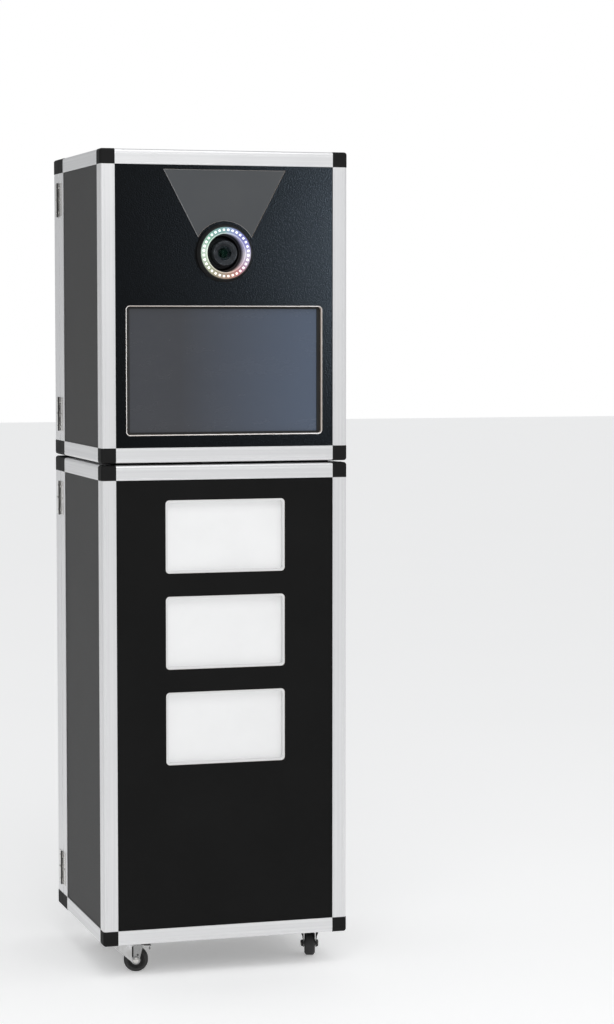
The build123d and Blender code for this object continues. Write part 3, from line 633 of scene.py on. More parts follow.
# ---------- glass, light and display materials ----------
def smokedAcrylic(name, look):
    material, tree, shader = newMaterial(name, look["sockets"])
    vector = objectVector(tree)
    haze = rangeOf(tree, noise(tree, vector, 7.0, 4.0), 0.3, 0.7)
    body = mixColour(tree, haze, look["colour"], look["shade"])
    split = putNode(tree, "SeparateXYZ", {0: putNode(tree, "TexCoord").outputs["Normal"]}).outputs
    # slanted bevel faces get the lighter edge grey, a painted highlight
    slant = rangeOf(tree, calc(tree, "ABSOLUTE", split["Y"]), 0.97, 0.85)
    tree.links.new(mixColour(tree, slant, body, look["edge"]), shader["Base Color"])
    tree.links.new(rangeOf(tree, haze, 0.0, 1.0, *look["roughness"]), shader["Roughness"])
    wave = noise(tree, vector, 30.0, 2.0)
    tree.links.new(bumped(tree, wave, look["depth"]), shader["Normal"])
    return material


materials["smoked_acrylic"] = smokedAcrylic(
    "smokedAcrylic",
    {
        "sockets": {"Specular IOR Level": 0.5, "Transmission Weight": 0.12, "IOR": 1.49},
        "colour": grey(0.074, (0.93, 1.0, 1.08)),
        "shade": grey(0.083, (0.95, 1.0, 1.05)),
        # painted highlight on the bevels
        "edge": grey(0.34),
        "roughness": (0.16, 0.26),
        "depth": 0.02 * mm,
    },
)


def screenGlass(name, look):
    # dark display seen through touch glass, with painted light making it a little lighter to one side
    material, tree, shader = newMaterial(name, look["sockets"])
    vector = objectVector(tree)
    split = putNode(tree, "SeparateXYZ", {0: vector}).outputs
    sideways = rangeOf(tree, split["X"], *look["paintedLightFade"])
    body = mixColour(tree, sideways, look["colour"], look["shade"])
    smear = rangeOf(tree, noise(tree, scaled(tree, vector, (1.0, 1.0, 2.4)), 16.0, 5.0, 0.6), 0.42, 0.75)
    smeared = calc(tree, "MULTIPLY", smear, 0.04)
    tree.links.new(mixColour(tree, smeared, body, look["smear"]), shader["Base Color"])
    tree.links.new(rangeOf(tree, smear, 0.0, 1.0, *look["roughness"]), shader["Roughness"])
    tree.links.new(bumped(tree, noise(tree, vector, 5.0, 1.0), look["depth"]), shader["Normal"])
    return material


materials["screen_glass"] = screenGlass(
    "darkDisplay",
    {
        "sockets": {"Specular IOR Level": 0.5, "Coat Weight": 0.2, "Coat Roughness": 0.06},
        "colour": grey(0.040, (0.92, 1.0, 1.22)),
        # the lighter shade towards +X is painted light
        "shade": grey(0.098, (0.73, 1.0, 1.53)),
        "smear": grey(0.11),
        "paintedLightFade": (-0.09, 0.20),
        "roughness": (0.24, 0.30),
        "depth": 0.01 * mm,
    },
)


def coatedLens(name, look):
    # faint coating colour over dark or clear glass, with a little dust
    material, tree, shader = newMaterial(name, look["sockets"])
    vector = objectVector(tree)
    facing = putNode(tree, "LayerWeight", {"Blend": 0.35}).outputs["Facing"]
    tint = mixColour(tree, facing, look["centre"], look["rim"])
    dust = rangeOf(tree, noise(tree, vector, 700.0, 3.0), 0.66, 0.74)
    tree.links.new(mixColour(tree, calc(tree, "MULTIPLY", dust, 0.06), tint, grey(0.3)), shader["Base Color"])
    tree.links.new(rangeOf(tree, dust, 0.0, 1.0, 0.03, 0.2), shader["Roughness"])
    return material


materials["lens_glass"] = coatedLens(
    "clearFrontGlass",
    {
        "sockets": {"Specular IOR Level": 0.3, "Transmission Weight": 1.0, "IOR": 1.1},
        "centre": (0.75, 0.88, 0.86, 1.0),
        "rim": (0.50, 0.42, 0.60, 1.0),
    },
)
materials["green_element"] = coatedLens(
    "greenCoatedElement",
    {
        "sockets": {"Specular IOR Level": 0.10, "Specular Tint": (0.35, 1.0, 0.62, 1.0)},
        "centre": (0.002, 0.012, 0.008, 1.0),
        "rim": (0.010, 0.030, 0.022, 1.0),
    },
)
materials["violet_element"] = coatedLens(
    "violetCoatedElement",
    {
        "sockets": {"Specular IOR Level": 0.14, "Specular Tint": (0.75, 0.7, 1.0, 1.0)},
        "centre": (0.006, 0.004, 0.014, 1.0),
        "rim": (0.020, 0.012, 0.035, 1.0),
    },
)


def glowing(name, look):
    # evenly lit white sheet with a faint patchy glow
    material, tree, shader = newMaterial(name, look["sockets"])
    vector = objectVector(tree)
    patch = rangeOf(tree, noise(tree, vector, 12.0, 4.0), 0.3, 0.7)
    body = mixColour(tree, patch, look["colour"], look["shade"])
    tree.links.new(body, shader["Base Color"])
    tree.links.new(mixColour(tree, patch, look["light"], look["dimmer"]), shader["Emission Color"])
    tree.links.new(rangeOf(tree, patch, 0.0, 1.0, *look["roughness"]), shader["Roughness"])
    grain = useGroup(tree, mouldGrain, {"Vector": vector, "Size": look["grain"]})
    tree.links.new(bumped(tree, grain["Height"], look["depth"]), shader["Normal"])
    return material


materials["light_panel"] = glowing(
    "opalLightPanel",
    {
        "sockets": {"Emission Strength": 0.10},
        "colour": grey(0.86),
        "shade": grey(0.83),
        "light": grey(1.0),
        "dimmer": grey(0.92),
        "roughness": (0.3, 0.4),
        "grain": 0.8 * mm,
        "depth": 0.01 * mm,
    },
)


def rainbowLamp(name, look):
    # white parts glowing in the colours of the ring, paler at the lamps themselves; on the ring board the
    # glow is painted light
    material, tree, shader = newMaterial(name, {"Emission Strength": look["strength"]})
    vector = objectVector(tree)
    colours = useGroup(tree, ringColours, {"Vector": vector, "Centre Height": lensCentre.z})["Color"]
    speck = rangeOf(tree, noise(tree, vector, 900.0, 3.0), 0.3, 0.7)
    base = look["base"]
    tree.links.new(mixColour(tree, speck, grey(base), grey(base * 0.9)), shader["Base Color"])
    tree.links.new(mixColour(tree, look["white"], colours, grey(1.0)), shader["Emission Color"])
    tree.links.new(rangeOf(tree, speck, 0.0, 1.0, 0.25, 0.4), shader["Roughness"])
    return material


def tunnelWall(name, look):
    # pale sleeve with the ring's light painted near its mouth as colour and glow, and painted shade to black
    # further in
    material, tree, shader = newMaterial(name, {"Emission Strength": look["paintedGlow"]})
    vector = objectVector(tree)
    colours = useGroup(tree, ringColours, {"Vector": vector, "Centre Height": lensCentre.z})["Color"]
    depthwise = putNode(tree, "SeparateXYZ", {0: vector}).outputs["Y"]
    mouth = ringLow.y
    lit = rangeOf(tree, depthwise, mouth + look["dark"], mouth + look["bright"])
    lit = calc(tree, "POWER", lit, 1.5)
    body = mixColour(tree, lit, look["deep"], mixColour(tree, 0.6, colours, look["pale"]))
    tree.links.new(body, shader["Base Color"])
    glowColour = mixColour(tree, 0.45, colours, look["pale"])
    tree.links.new(mixColour(tree, lit, grey(0.0), glowColour), shader["Emission Color"])
    streak = rangeOf(tree, noise(tree, scaled(tree, vector, (1.0, 0.1, 1.0)), 220.0, 3.0), 0.3, 0.7)
    tree.links.new(rangeOf(tree, streak, 0.0, 1.0, *look["roughness"]), shader["Roughness"])
    return material


ringLow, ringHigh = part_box("ring_housing")
lensCentre = (ringLow + ringHigh) / 2
materials["led_emitter"] = rainbowLamp("litDome", ringLight["dome"])
materials["litPackage"] = rainbowLamp("litPackage", ringLight["package"])
materials["paintedLightBoard"] = rainbowLamp("paintedLightRingBoard", ringLight["board"])
materials["tunnel_reflector"] = tunnelWall("tunnelSleevePaintedLight", ringLight["tunnel"])
print("glass and light materials ready")


# ---------- shape helpers ----------
def pourInto(shape, part):
    mesh = bpy.data.meshes.new("passing")
    part.to_mesh(mesh)
    part.free()
    shape.from_mesh(mesh)
    bpy.data.meshes.remove(mesh)


def addBlock(shape, low, high, rounding=0.0, segments=2):
    part = bmesh.new()
    bmesh.ops.create_cube(part, size=1.0)
    low, high = Vector(low), Vector(high)
    for vert in part.verts:
        share = vert.co + Vector((0.5, 0.5, 0.5))
        vert.co = Vector([a + s * (b - a) for a, b, s in zip(low, high, share)])
    if rounding:
        edges = part.edges[:]
        bmesh.ops.bevel(part, geom=edges, offset=rounding, segments=segments, profile=0.5, affect="EDGES")
    pourInto(shape, part)


def addTurned(shape, outline, origin, axis, steps=48, closed=False):
    # outline gives (radius, along) and optionally a number of flats for that ring
    axis = Vector(axis).normalized()
    side = axis.orthogonal().normalized()
    up = axis.cross(side)
    part = bmesh.new()
    rings = []
    for radius, along, *flats in outline:
        centre = Vector(origin) + axis * along
        if radius < 1e-7:
            rings.append([part.verts.new(centre)])
            continue
        ring = []
        for index in range(steps):
            angle = 2 * math.pi * index / steps
            reach = radius
            if flats:
                sector = 2 * math.pi / flats[0]
                reach = radius * math.cos(sector / 2) / math.cos((angle % sector) - sector / 2)
            ring.append(part.verts.new(centre + (side * math.cos(angle) + up * math.sin(angle)) * reach))
        rings.append(ring)
    pairs = list(zip(rings, rings[1:]))
    if closed:
        pairs.append((rings[-1], rings[0]))
    for low, high in pairs:
        for index in range(steps):
            after = (index + 1) % steps
            corners = [low[index % len(low)], low[after % len(low)]]
            corners += [high[after % len(high)], high[index % len(high)]]
            corners = list(dict.fromkeys(corners))
            if len(corners) > 2:
                part.faces.new(corners)
    pourInto(shape, part)


def roundedOutline(corners, step=15.0):
    # corners are (x, y, radius); straight stretches with arcs between them
    points = []
    count = len(corners)
    for index, (x, y, radius) in enumerate(corners):
        here = Vector((x, y))
        if radius == 0:
            points.append(here)
            continue
        before = (Vector(corners[index - 1][:2]) - here).normalized()
        after = (Vector(corners[(index + 1) % count][:2]) - here).normalized()
        half = before.angle(after) / 2
        centre = here + (before + after).normalized() * (radius / math.sin(half))
        reach = radius / math.tan(half)
        start = here + before * reach - centre
        end = here + after * reach - centre
        first = math.atan2(start.y, start.x)
        sweep = (math.atan2(end.y, end.x) - first + math.pi) % (2 * math.pi) - math.pi
        parts = max(2, round(abs(math.degrees(sweep)) / step))
        for part in range(parts + 1):
            angle = first + sweep * part / parts
            points.append(centre + Vector((math.cos(angle), math.sin(angle))) * radius)
    return points


def addPrism(shape, outline, origin, across, upward, depth, rounding=0.0, holes=()):
    # flat outline pushed along depth, with its rims rounded
    part = bmesh.new()
    origin, across, upward, depth = (Vector(value) for value in (origin, across, upward, depth))
    loops = []
    for points in (outline, *holes):
        front = [part.verts.new(origin + across * p[0] + upward * p[1]) for p in points]
        rear = [part.verts.new(vert.co + depth) for vert in front]
        for index in range(len(points)):
            after = (index + 1) % len(points)
            part.faces.new((front[index], front[after], rear[after], rear[index]))
        loops.append((front, rear))
    if holes:
        for layer in (0, 1):
            edges = []
            for loop in loops:
                ring = loop[layer]
                edges += [part.edges.get((ring[i], ring[(i + 1) % len(ring)])) for i in range(len(ring))]
            bmesh.ops.triangle_fill(part, use_beauty=True, edges=edges)
    else:
        part.faces.new(loops[0][0])
        part.faces.new(loops[0][1])
    bmesh.ops.recalc_face_normals(part, faces=part.faces[:])
    if rounding:
        rims = [e for e in part.edges if len(e.link_faces) == 2 and e.calc_face_angle(0) > math.radians(60)]
        inward = depth.normalized()
        rims = [e for e in rims if abs((e.verts[0].co - e.verts[1].co).normalized().dot(inward)) < 0.1]
        bmesh.ops.bevel(part, geom=rims, offset=rounding, segments=2, profile=0.5, affect="EDGES")
    pourInto(shape, part)


def rectangleOutline(halfWide, halfTall, corner, step=15.0):
    corners = [(-halfWide, -halfTall, corner), (halfWide, -halfTall, corner)]
    corners += [(halfWide, halfTall, corner), (-halfWide, halfTall, corner)]
    return roundedOutline(corners, step)


def inMillimetres(points):
    return [tuple(value * mm for value in point) for point in points]


def fourSpots(middle, across, up, wide, tall):
    return [middle + across * a * wide + up * b * tall for a in (-1, 1) for b in (-1, 1)]


def finishPiece(name, shape, finish, body, slot=None, replaces=(), sharpAngle=32.0):
    bmesh.ops.recalc_face_normals(shape, faces=shape.faces[:])
    mesh = bpy.data.meshes.new(name)
    shape.to_mesh(mesh)
    shape.free()
    mesh.shade_smooth()
    mesh.set_sharp_from_angle(angle=math.radians(sharpAngle))
    mesh.materials.append(materials[finish])
    piece = bpy.data.objects.new(name, mesh)
    scene.collection.objects.link(piece)
    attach(piece, body)
    if replaces:
        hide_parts(*replaces)
    return piece


def dress(node, finish, edge=0.0, segments=2):
    # CAD part with its finish and its sharp edges eased
    part = nodes[node]
    part.data.materials.clear()
    part.data.materials.append(materials[finish])
    if edge:
        weld = part.modifiers.new("weld", "WELD")
        weld.merge_threshold = 0.002 * mm
        flat = part.modifiers.new("flat", "DECIMATE")
        flat.decimate_type = "DISSOLVE"
        flat.angle_limit = math.radians(0.6)
        ease = part.modifiers.new("ease", "BEVEL")
        ease.width = edge
        ease.segments = segments
        ease.limit_method = "ANGLE"
        ease.angle_limit = math.radians(38)
        ease.miter_outer = "MITER_ARC"
        even = part.modifiers.new("even", "WEIGHTED_NORMAL")
        even.keep_sharp = False
        even.weight = 80


screwShape = {"head": 2.7, "height": 1.2, "socket": 1.25, "socketDepth": 0.9}


def addScrew(shape, spot, outward, size=1.0):
    s = {key: value * size * mm for key, value in screwShape.items()}
    floor = s["height"] - s["socketDepth"]
    outline = [
        (0.0, floor),
        (s["socket"], floor, 6),
        (s["socket"], s["height"] * 0.97, 6),
        (s["socket"] * 1.15, s["height"]),
        (s["head"] * 0.62, s["height"] * 0.96),
        (s["head"] * 0.86, s["height"] * 0.68),
        (s["head"], s["height"] * 0.25),
        (s["head"], 0.0),
        (0.0, 0.0),
    ]
    addTurned(shape, outline, spot, outward, steps=24)


# ---------- aluminium edge profiles ----------
profile = {
    "leg": 30.0,
    "rearLeg": 42.0,
    "rearReturn": 20.0,
    "wall": 2.0,
    "boardInner": 11.0,
    "boardEdge": 12.5,
    "lipLeg": 24.0,
    "corner": 5.0,
    "freeEdge": 0.6,
    "grooves": (8.2, 3.4),
    "grooveWide": 0.8,
    "grooveDeep": 0.22,
}


def profileSection(legP, legQ):
    # L section from the outer corner: p along one leg, q along the other
    wall, inner, edge = profile["wall"], profile["boardInner"], profile["boardEdge"]
    free, half, deep = profile["freeEdge"], profile["grooveWide"] / 2, profile["grooveDeep"]
    lipP, lipQ = min(profile["lipLeg"], legP), min(profile["lipLeg"], legQ)
    nearCorner, fromEdge = profile["grooves"]
    points = [(legP, wall, free), (legP, 0.0, free)]
    for spot in (legP - fromEdge, nearCorner):
        points += [(spot + half, 0.0, 0), (spot, deep, 0), (spot - half, 0.0, 0)]
    points.append((0.0, 0.0, profile["corner"]))
    for spot in (nearCorner, legQ - fromEdge):
        points += [(0.0, spot - half, 0), (deep, spot, 0), (0.0, spot + half, 0)]
    points += [(0.0, legQ, free), (wall, legQ, free), (wall, edge, 0), (inner, edge, 0), (inner, lipQ, 0)]
    points += [(edge, lipQ, 0.4), (edge, edge, 0), (lipP, edge, 0.4), (lipP, inner, 0), (edge, inner, 0)]
    points += [(edge, wall, 0)]
    return roundedOutline(points, 11.0)


def addBar(shape, layer, number, axis, corner, signs, legs, limits):
    # one extrusion along an axis letter, corner in metres, legs in millimetres
    section = profileSection(*legs)
    a, b = [index for index in range(3) if index != "XYZ".index(axis)]
    along = "XYZ".index(axis)
    ends = []
    distance = 0.0
    across = []
    for index, point in enumerate(section):
        if index:
            distance += (point - section[index - 1]).length
        across.append(distance * mm)
    for limit in limits:
        ring = []
        for point, place in zip(section, across):
            co = Vector((0.0, 0.0, 0.0))
            co[along] = limit
            co[a] = corner[0] + signs[0] * point.x * mm
            co[b] = corner[1] + signs[1] * point.y * mm
            vert = shape.verts.new(co)
            vert[layer] = Vector((limit, place, number * 0.37))
            ring.append(vert)
        ends.append(ring)
    low, high = ends
    for index in range(len(section)):
        after = (index + 1) % len(section)
        shape.faces.new((low[index], low[after], high[after], high[index]))
    shape.faces.new(low)
    shape.faces.new(high)


def makeProfiles(name, body, node, bars):
    shape = bmesh.new()
    layer = shape.verts.layers.float_vector.new("barPlace")
    for number, bar in enumerate(bars):
        addBar(shape, layer, number, *bar)
    finishPiece(name, shape, "edge_aluminium", body, replaces=[node], sharpAngle=24.0)


def caseBars(low, high):
    leg, rear, back = profile["leg"], profile["rearLeg"], profile["rearReturn"]
    upright = (low.z + leg * mm, high.z - leg * mm)
    across = (low.x + leg * mm, high.x - leg * mm)
    along = (low.y + leg * mm, high.y - rear * mm)
    bars = []
    for x, sign in ((low.x, 1), (high.x, -1)):
        bars.append(("Z", (x, low.y), (sign, 1), (leg, leg), upright))
        bars.append(("Z", (x, high.y), (sign, -1), (back, rear), upright))
    for z, inward in ((low.z, 1), (high.z, -1)):
        bars.append(("X", (low.y, z), (1, inward), (leg, leg), across))
        bars.append(("X", (high.y, z), (-1, inward), (rear, back), across))
        for x, sign in ((low.x, 1), (high.x, -1)):
            bars.append(("Y", (x, z), (sign, inward), (leg, leg), along))
    return bars


def doorBars(low, high):
    leg, deep = profile["leg"], (high.y - low.y) / mm
    upright = (low.z + leg * mm, high.z - leg * mm)
    across = (low.x + leg * mm, high.x - leg * mm)
    bars = [("Z", (x, high.y), (sign, -1), (leg, deep), upright) for x, sign in ((low.x, 1), (high.x, -1))]
    for z, inward in ((low.z, 1), (high.z, -1)):
        bars.append(("X", (high.y, z), (-1, inward), (deep, leg), across))
    return bars


for case in ("lower", "upper"):
    edging, doorFrame = case + "_edge_profiles", case + "_door_frame"
    makeProfiles(case + "_case_edging", case + "_case", edging, caseBars(*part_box(edging)))
    makeProfiles(case + "_door_edging", case + "_door", doorFrame, doorBars(*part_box(doorFrame)))
print("edge profiles made")


# ---------- corner mouldings, boards and decks ----------
for case in ("lower", "upper"):
    dress(case + "_corner_caps", "corner_plastic", 0.5 * mm)
    dress(case + "_door_caps", "corner_plastic", 0.5 * mm)
    dress(case + "_side_panels", "side_laminate")
    dress(case + "_door_panel", "door_laminate")
    dress(case + "_top_panel", "deck_laminate")
    dress(case + "_bottom_panel", "deck_laminate")
    dress(case + "_hinge_fixed_leaves", "hinge_steel", 0.25 * mm)
    dress(case + "_hinge_door_leaves", "hinge_steel", 0.25 * mm)
    dress(case + "_latch", "latch_metal", 0.5 * mm)
dress("lower_front_panel", "smooth_front_board")
dress("upper_front_panel", "textured_front_board")
dress("stacking_mat", "mat_rubber", 0.4 * mm)
dress("locating_pins", "zinc_steel", 0.4 * mm)
dress("clamp_knob", "knob_plastic", 0.6 * mm)
dress("niche_trays", "white_tray", 0.5 * mm)
dress("niche_light_panels", "light_panel", 0.4 * mm)
dress("smoked_window", "smoked_acrylic")
dress("touch_glass", "screen_glass", 0.3 * mm)
dress("monitor_gasket", "knob_plastic", 0.2 * mm)
dress("monitor_chassis", "device_plastic", 0.8 * mm)
dress("flash_lamp", "device_plastic", 0.8 * mm)
dress("camera_bracket", "zinc_steel", 0.4 * mm)
dress("mini_computer", "device_plastic", 0.6 * mm)
dress("camera_body", "knob_plastic", 0.7 * mm)
dress("zoom_ring", "knob_plastic", 0.15 * mm)
dress("ring_housing", "knob_plastic", 0.3 * mm)
dress("led_board", "paintedLightBoard", 0.15 * mm)
dress("lens_tunnel", "tunnel_reflector", 0.3 * mm)
dress("printer_shelf", "shelf_metal", 0.5 * mm)
dress("photo_printer", "device_plastic", 1.0 * mm)
dress("print_outlet", "knob_plastic", 0.5 * mm)
dress("power_inlet", "knob_plastic", 0.4 * mm)
dress("rocker_switch", "knob_plastic", 0.4 * mm)
dress("caster_plates", "zinc_steel", 0.4 * mm)
for spot in casterNames:
    dress("fork_" + spot, "fork_" + spot, 0.35 * mm)
for spot in casterNames[:2]:
    dress("brake_" + spot, "zinc_steel", 0.35 * mm)
print("CAD parts dressed")


# ---------- ring light chips ----------
chip = {"count": 32, "circle": 46.5, "half": 2.5, "tall": 1.6, "well": 1.75}


def makeChips():
    low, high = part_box("led_board")
    face = low.y
    packages = bmesh.new()
    domes = bmesh.new()
    for index in range(chip["count"]):
        angle = 2 * math.pi * (index + 0.5) / chip["count"]
        outward = Vector((math.sin(angle), 0.0, math.cos(angle)))
        sideways = Vector((math.cos(angle), 0.0, -math.sin(angle)))
        spot = Vector((lensCentre.x, face, lensCentre.z)) + outward * chip["circle"] * mm
        half, well = chip["half"] * mm, chip["well"] * mm
        square = rectangleOutline(half, half, 0.4 * mm, 30.0)
        hole = [(well * math.cos(t), well * math.sin(t)) for t in [math.pi * k / 12 for k in range(24)]]
        depth = Vector((0.0, -chip["tall"] * mm, 0.0))
        addPrism(packages, square, spot, sideways, outward, depth, holes=[hole])
        dome = [(0.0, 0.2 * mm), (well, 0.2 * mm), (well, 1.1 * mm)]
        dome += [(well * math.cos(t), (1.1 + 0.45 * math.sin(t)) * mm) for t in (0.4, 0.8, 1.2)]
        dome.append((0.0, 1.55 * mm))
        addTurned(domes, dome, spot, (0.0, -1.0, 0.0), steps=20)
    lit = {"slot": "led_emitter", "replaces": ["ring_leds"]}
    finishPiece("ring_chip_packages", packages, "litPackage", "upper_case", **lit)
    finishPiece("ring_chip_domes", domes, "led_emitter", "upper_case")


makeChips()
print("ring light chips made")


# ---------- wheels ----------
wheel = {
    "radius": 25.0,
    "halfWidth": 11.5,
    "tread": 3.8,
    "tyreInner": 17.0,
    "hubRadius": 16.9,
    "boreRadius": 4.1,
    "steps": 72,
}


def makeWheel(spot):
    low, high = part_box("wheel_" + spot)
    centre = (low + high) / 2
    axis = Vector(joints[spot + "_roll"]["axis"])
    radius, half, inner = wheel["radius"], wheel["halfWidth"], wheel["tyreInner"]
    section = roundedOutline(
        [
            (inner, -half + 1.2, 0.5),
            (radius - 6.0, -half, 1.2),
            (radius, -half + 3.6, wheel["tread"]),
            (radius, half - 3.6, wheel["tread"]),
            (radius - 6.0, half, 1.2),
            (inner, half - 1.2, 0.5),
        ],
        12.0,
    )
    tyre = bmesh.new()
    addTurned(tyre, [(p.x * mm, p.y * mm) for p in section], centre, axis, wheel["steps"], closed=True)
    finishPiece("tyre_" + spot, tyre, "wheel_rubber", "wheel_" + spot, replaces=["wheel_" + spot])
    hub = bmesh.new()
    # (radius, inset from the wheel's face, rounding), bore to rim
    steps = [(wheel["boreRadius"], -0.6, 0.3), (7.2, -0.6, 0.5), (7.6, 1.6, 0.4), (9.4, 2.8, 0.5)]
    steps += [(13.8, 2.8, 0.5), (14.6, 1.2, 0.4), (wheel["hubRadius"], 1.4, 0.3)]
    outline = [(r, inset - half, rounding) for r, inset, rounding in steps]
    outline += [(r, half - inset, rounding) for r, inset, rounding in reversed(steps)]
    hubSection = roundedOutline(outline, 20.0)
    addTurned(hub, [(p.x * mm, p.y * mm) for p in hubSection], centre, axis, 48, closed=True)
    side = axis.orthogonal().normalized()
    for index in range(6):
        angle = math.pi * index / 3
        spoke = side * math.cos(angle) + axis.cross(side) * math.sin(angle)
        for face in (-1, 1):
            root = centre + spoke * 11.6 * mm + axis * face * (half - 3.0) * mm
            stud = inMillimetres([(1.9, 0.0), (1.9, 0.9), (1.3, 1.1), (0.0, 1.1)])
            addTurned(hub, stud, root, axis * face, 16)
    finishPiece("hub_" + spot, hub, "knob_plastic", "wheel_" + spot)


for spot in casterNames:
    makeWheel(spot)
print("wheels made")


# ---------- caster fittings ----------
casterBolt = {
    "spread": 22.5,
    "head": 5.0,
    "headTall": 2.6,
    "washer": 6.2,
    "washerTall": 0.8,
    "cap": 6.2,
    "capTall": 2.0,
}


def makeCasterFittings(spot):
    swivel = Vector(joints[spot + "_swivel"]["pos_m"])
    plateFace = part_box("caster_plates")[1].z - 5.3 * mm
    bolts = bmesh.new()
    washer, head = casterBolt["washer"] * mm, casterBolt["head"] * mm
    under = casterBolt["washerTall"] * mm
    end = under + casterBolt["headTall"] * mm
    outline = [(0.0, 0.0), (washer, 0.0), (washer, under * 0.8), (washer * 0.96, under)]
    outline.append((head * 0.96, under, 6))
    outline += [(head, under + 0.2 * mm, 6), (head, end - 0.6 * mm, 6), (head * 0.88, end), (0.0, end)]
    for across in (-1, 1):
        for along in (-1, 1):
            offset = Vector((across, along, 0.0)) * casterBolt["spread"] * mm
            place = Vector((swivel.x, swivel.y, plateFace)) + offset
            addTurned(bolts, outline, place, (0.0, 0.0, -1.0), steps=30)
    finishPiece("caster_bolts_" + spot, bolts, "zinc_steel", "lower_case")
    low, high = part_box("wheel_" + spot)
    centre = (low + high) / 2
    rollAxis = Vector(joints[spot + "_roll"]["axis"])
    trail = Vector((rollAxis.y, -rollAxis.x, 0.0))
    caps = bmesh.new()
    cap, tall = casterBolt["cap"] * mm, casterBolt["capTall"] * mm
    dome = [(0.0, -0.4 * mm), (cap, -0.4 * mm)]
    dome += [(cap * math.cos(angle), tall * math.sin(angle)) for angle in (0.0, 0.35, 0.7, 1.05, 1.35)]
    dome.append((0.0, tall))
    rivet = [(0.0, 0.0), (2.2 * mm, 0.0), (2.1 * mm, 0.5 * mm), (1.4 * mm, 0.8 * mm), (0.0, 0.8 * mm)]
    rivets = bmesh.new()
    for side in (-1, 1):
        outward = rollAxis * side
        addTurned(caps, dome, centre + outward * (18.5 if side > 0 else 17.5) * mm, outward, steps=28)
        lift = Vector((0.0, 0.0, 11.0 * mm))
        addTurned(rivets, rivet, centre + outward * 14.5 * mm + trail * 3.6 * mm + lift, outward, steps=16)
    finishPiece("axle_caps_" + spot, caps, "latch_metal", "fork_" + spot)
    finishPiece("fork_rivets_" + spot, rivets, "black_steel", "fork_" + spot, slot="zinc_steel")


for spot in casterNames:
    makeCasterFittings(spot)
print("caster fittings made")


# ---------- hinge screws, latch plates and panel screws ----------
def makeScrews(name, body, spots, outward, size=1.0, finish="latch_metal"):
    shape = bmesh.new()
    for spot in spots:
        addScrew(shape, spot, outward, size)
    finishPiece(name, shape, finish, body)


hinge = {"height": 70.0, "leafFace": -258.5, "screwAway": 17.0, "screwRise": 26.0, "stagger": 4.0}
latchPlate = {"halfWide": 21.0, "halfTall": 36.0, "corner": 7.0, "thick": 1.6, "bore": 6.4, "collar": 10.5}


def makeHingeScrews(case):
    low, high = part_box(case + "_hinge_door_leaves")
    pinY = joints[case + "_door_swing"]["pos_m"][1]
    half = hinge["height"] / 2 * mm
    for leaf, body, side in (("fixed", "_case", -1), ("door", "_door", 1)):
        spots = []
        for middle in (low.z + half, high.z - half):
            for row in (-1, 0, 1):
                away = hinge["screwAway"] + hinge["stagger"] * (1 if row == 0 else -1)
                y = pinY + side * away * mm
                spots.append((hinge["leafFace"] * mm, y, middle + row * hinge["screwRise"] * mm))
        makeScrews(case + "_hinge_screws_" + leaf, case + body, spots, (-1.0, 0.0, 0.0), 0.85)


def makeLatchPlate(case):
    spot = Vector(joints[case + "_latch_turn"]["pos_m"])
    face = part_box(case + "_door_panel")[1].y
    centre = Vector((spot.x, face, spot.z))
    across, up, out = Vector((1.0, 0.0, 0.0)), Vector((0.0, 0.0, 1.0)), Vector((0.0, 1.0, 0.0))
    wide, tall, corner = (latchPlate[key] * mm for key in ("halfWide", "halfTall", "corner"))
    bore, collar, thick = (latchPlate[key] * mm for key in ("bore", "collar", "thick"))
    outline = rectangleOutline(wide, tall, corner)
    hole = [(bore * math.cos(t), bore * math.sin(t)) for t in [math.pi * k / 18 for k in range(36)]]
    plate = bmesh.new()
    addPrism(plate, outline, centre, across, up, out * thick, 0.4 * mm, holes=[hole])
    ringCorners = [(bore, 0.0, 0), (collar, 0.0, 0)]
    ringCorners += [(collar - 1.0 * mm, 4.2 * mm, 0.8 * mm), (bore, 4.2 * mm, 0.5 * mm)]
    ring = roundedOutline(ringCorners)
    addTurned(plate, [tuple(point) for point in ring], centre + out * thick * 0.9, out, closed=True)
    finishPiece(case + "_latch_plate", plate, "latch_metal", case + "_door")
    spots = fourSpots(centre + out * thick, across, up, wide * 0.68, tall * 0.80)
    makeScrews(case + "_latch_screws", case + "_door", spots, out, 0.9)


for case in ("lower", "upper"):
    makeHingeScrews(case)
    makeLatchPlate(case)


lightPanels = {"rows": 3, "pitch": 194.8, "inset": 5.0}


def makeTrayScrews():
    low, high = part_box("niche_light_panels")
    pitch, inset = lightPanels["pitch"] * mm, lightPanels["inset"] * mm
    spots = []
    for row in range(lightPanels["rows"]):
        bottom = low.z + row * pitch
        top = high.z - (lightPanels["rows"] - 1 - row) * pitch
        for x in (low.x + inset, high.x - inset):
            spots += [(x, high.y, bottom + inset), (x, high.y, top - inset)]
    makeScrews("light_panel_screws", "lower_case", spots, (0.0, 1.0, 0.0), 1.1, "zinc_steel")


makeTrayScrews()


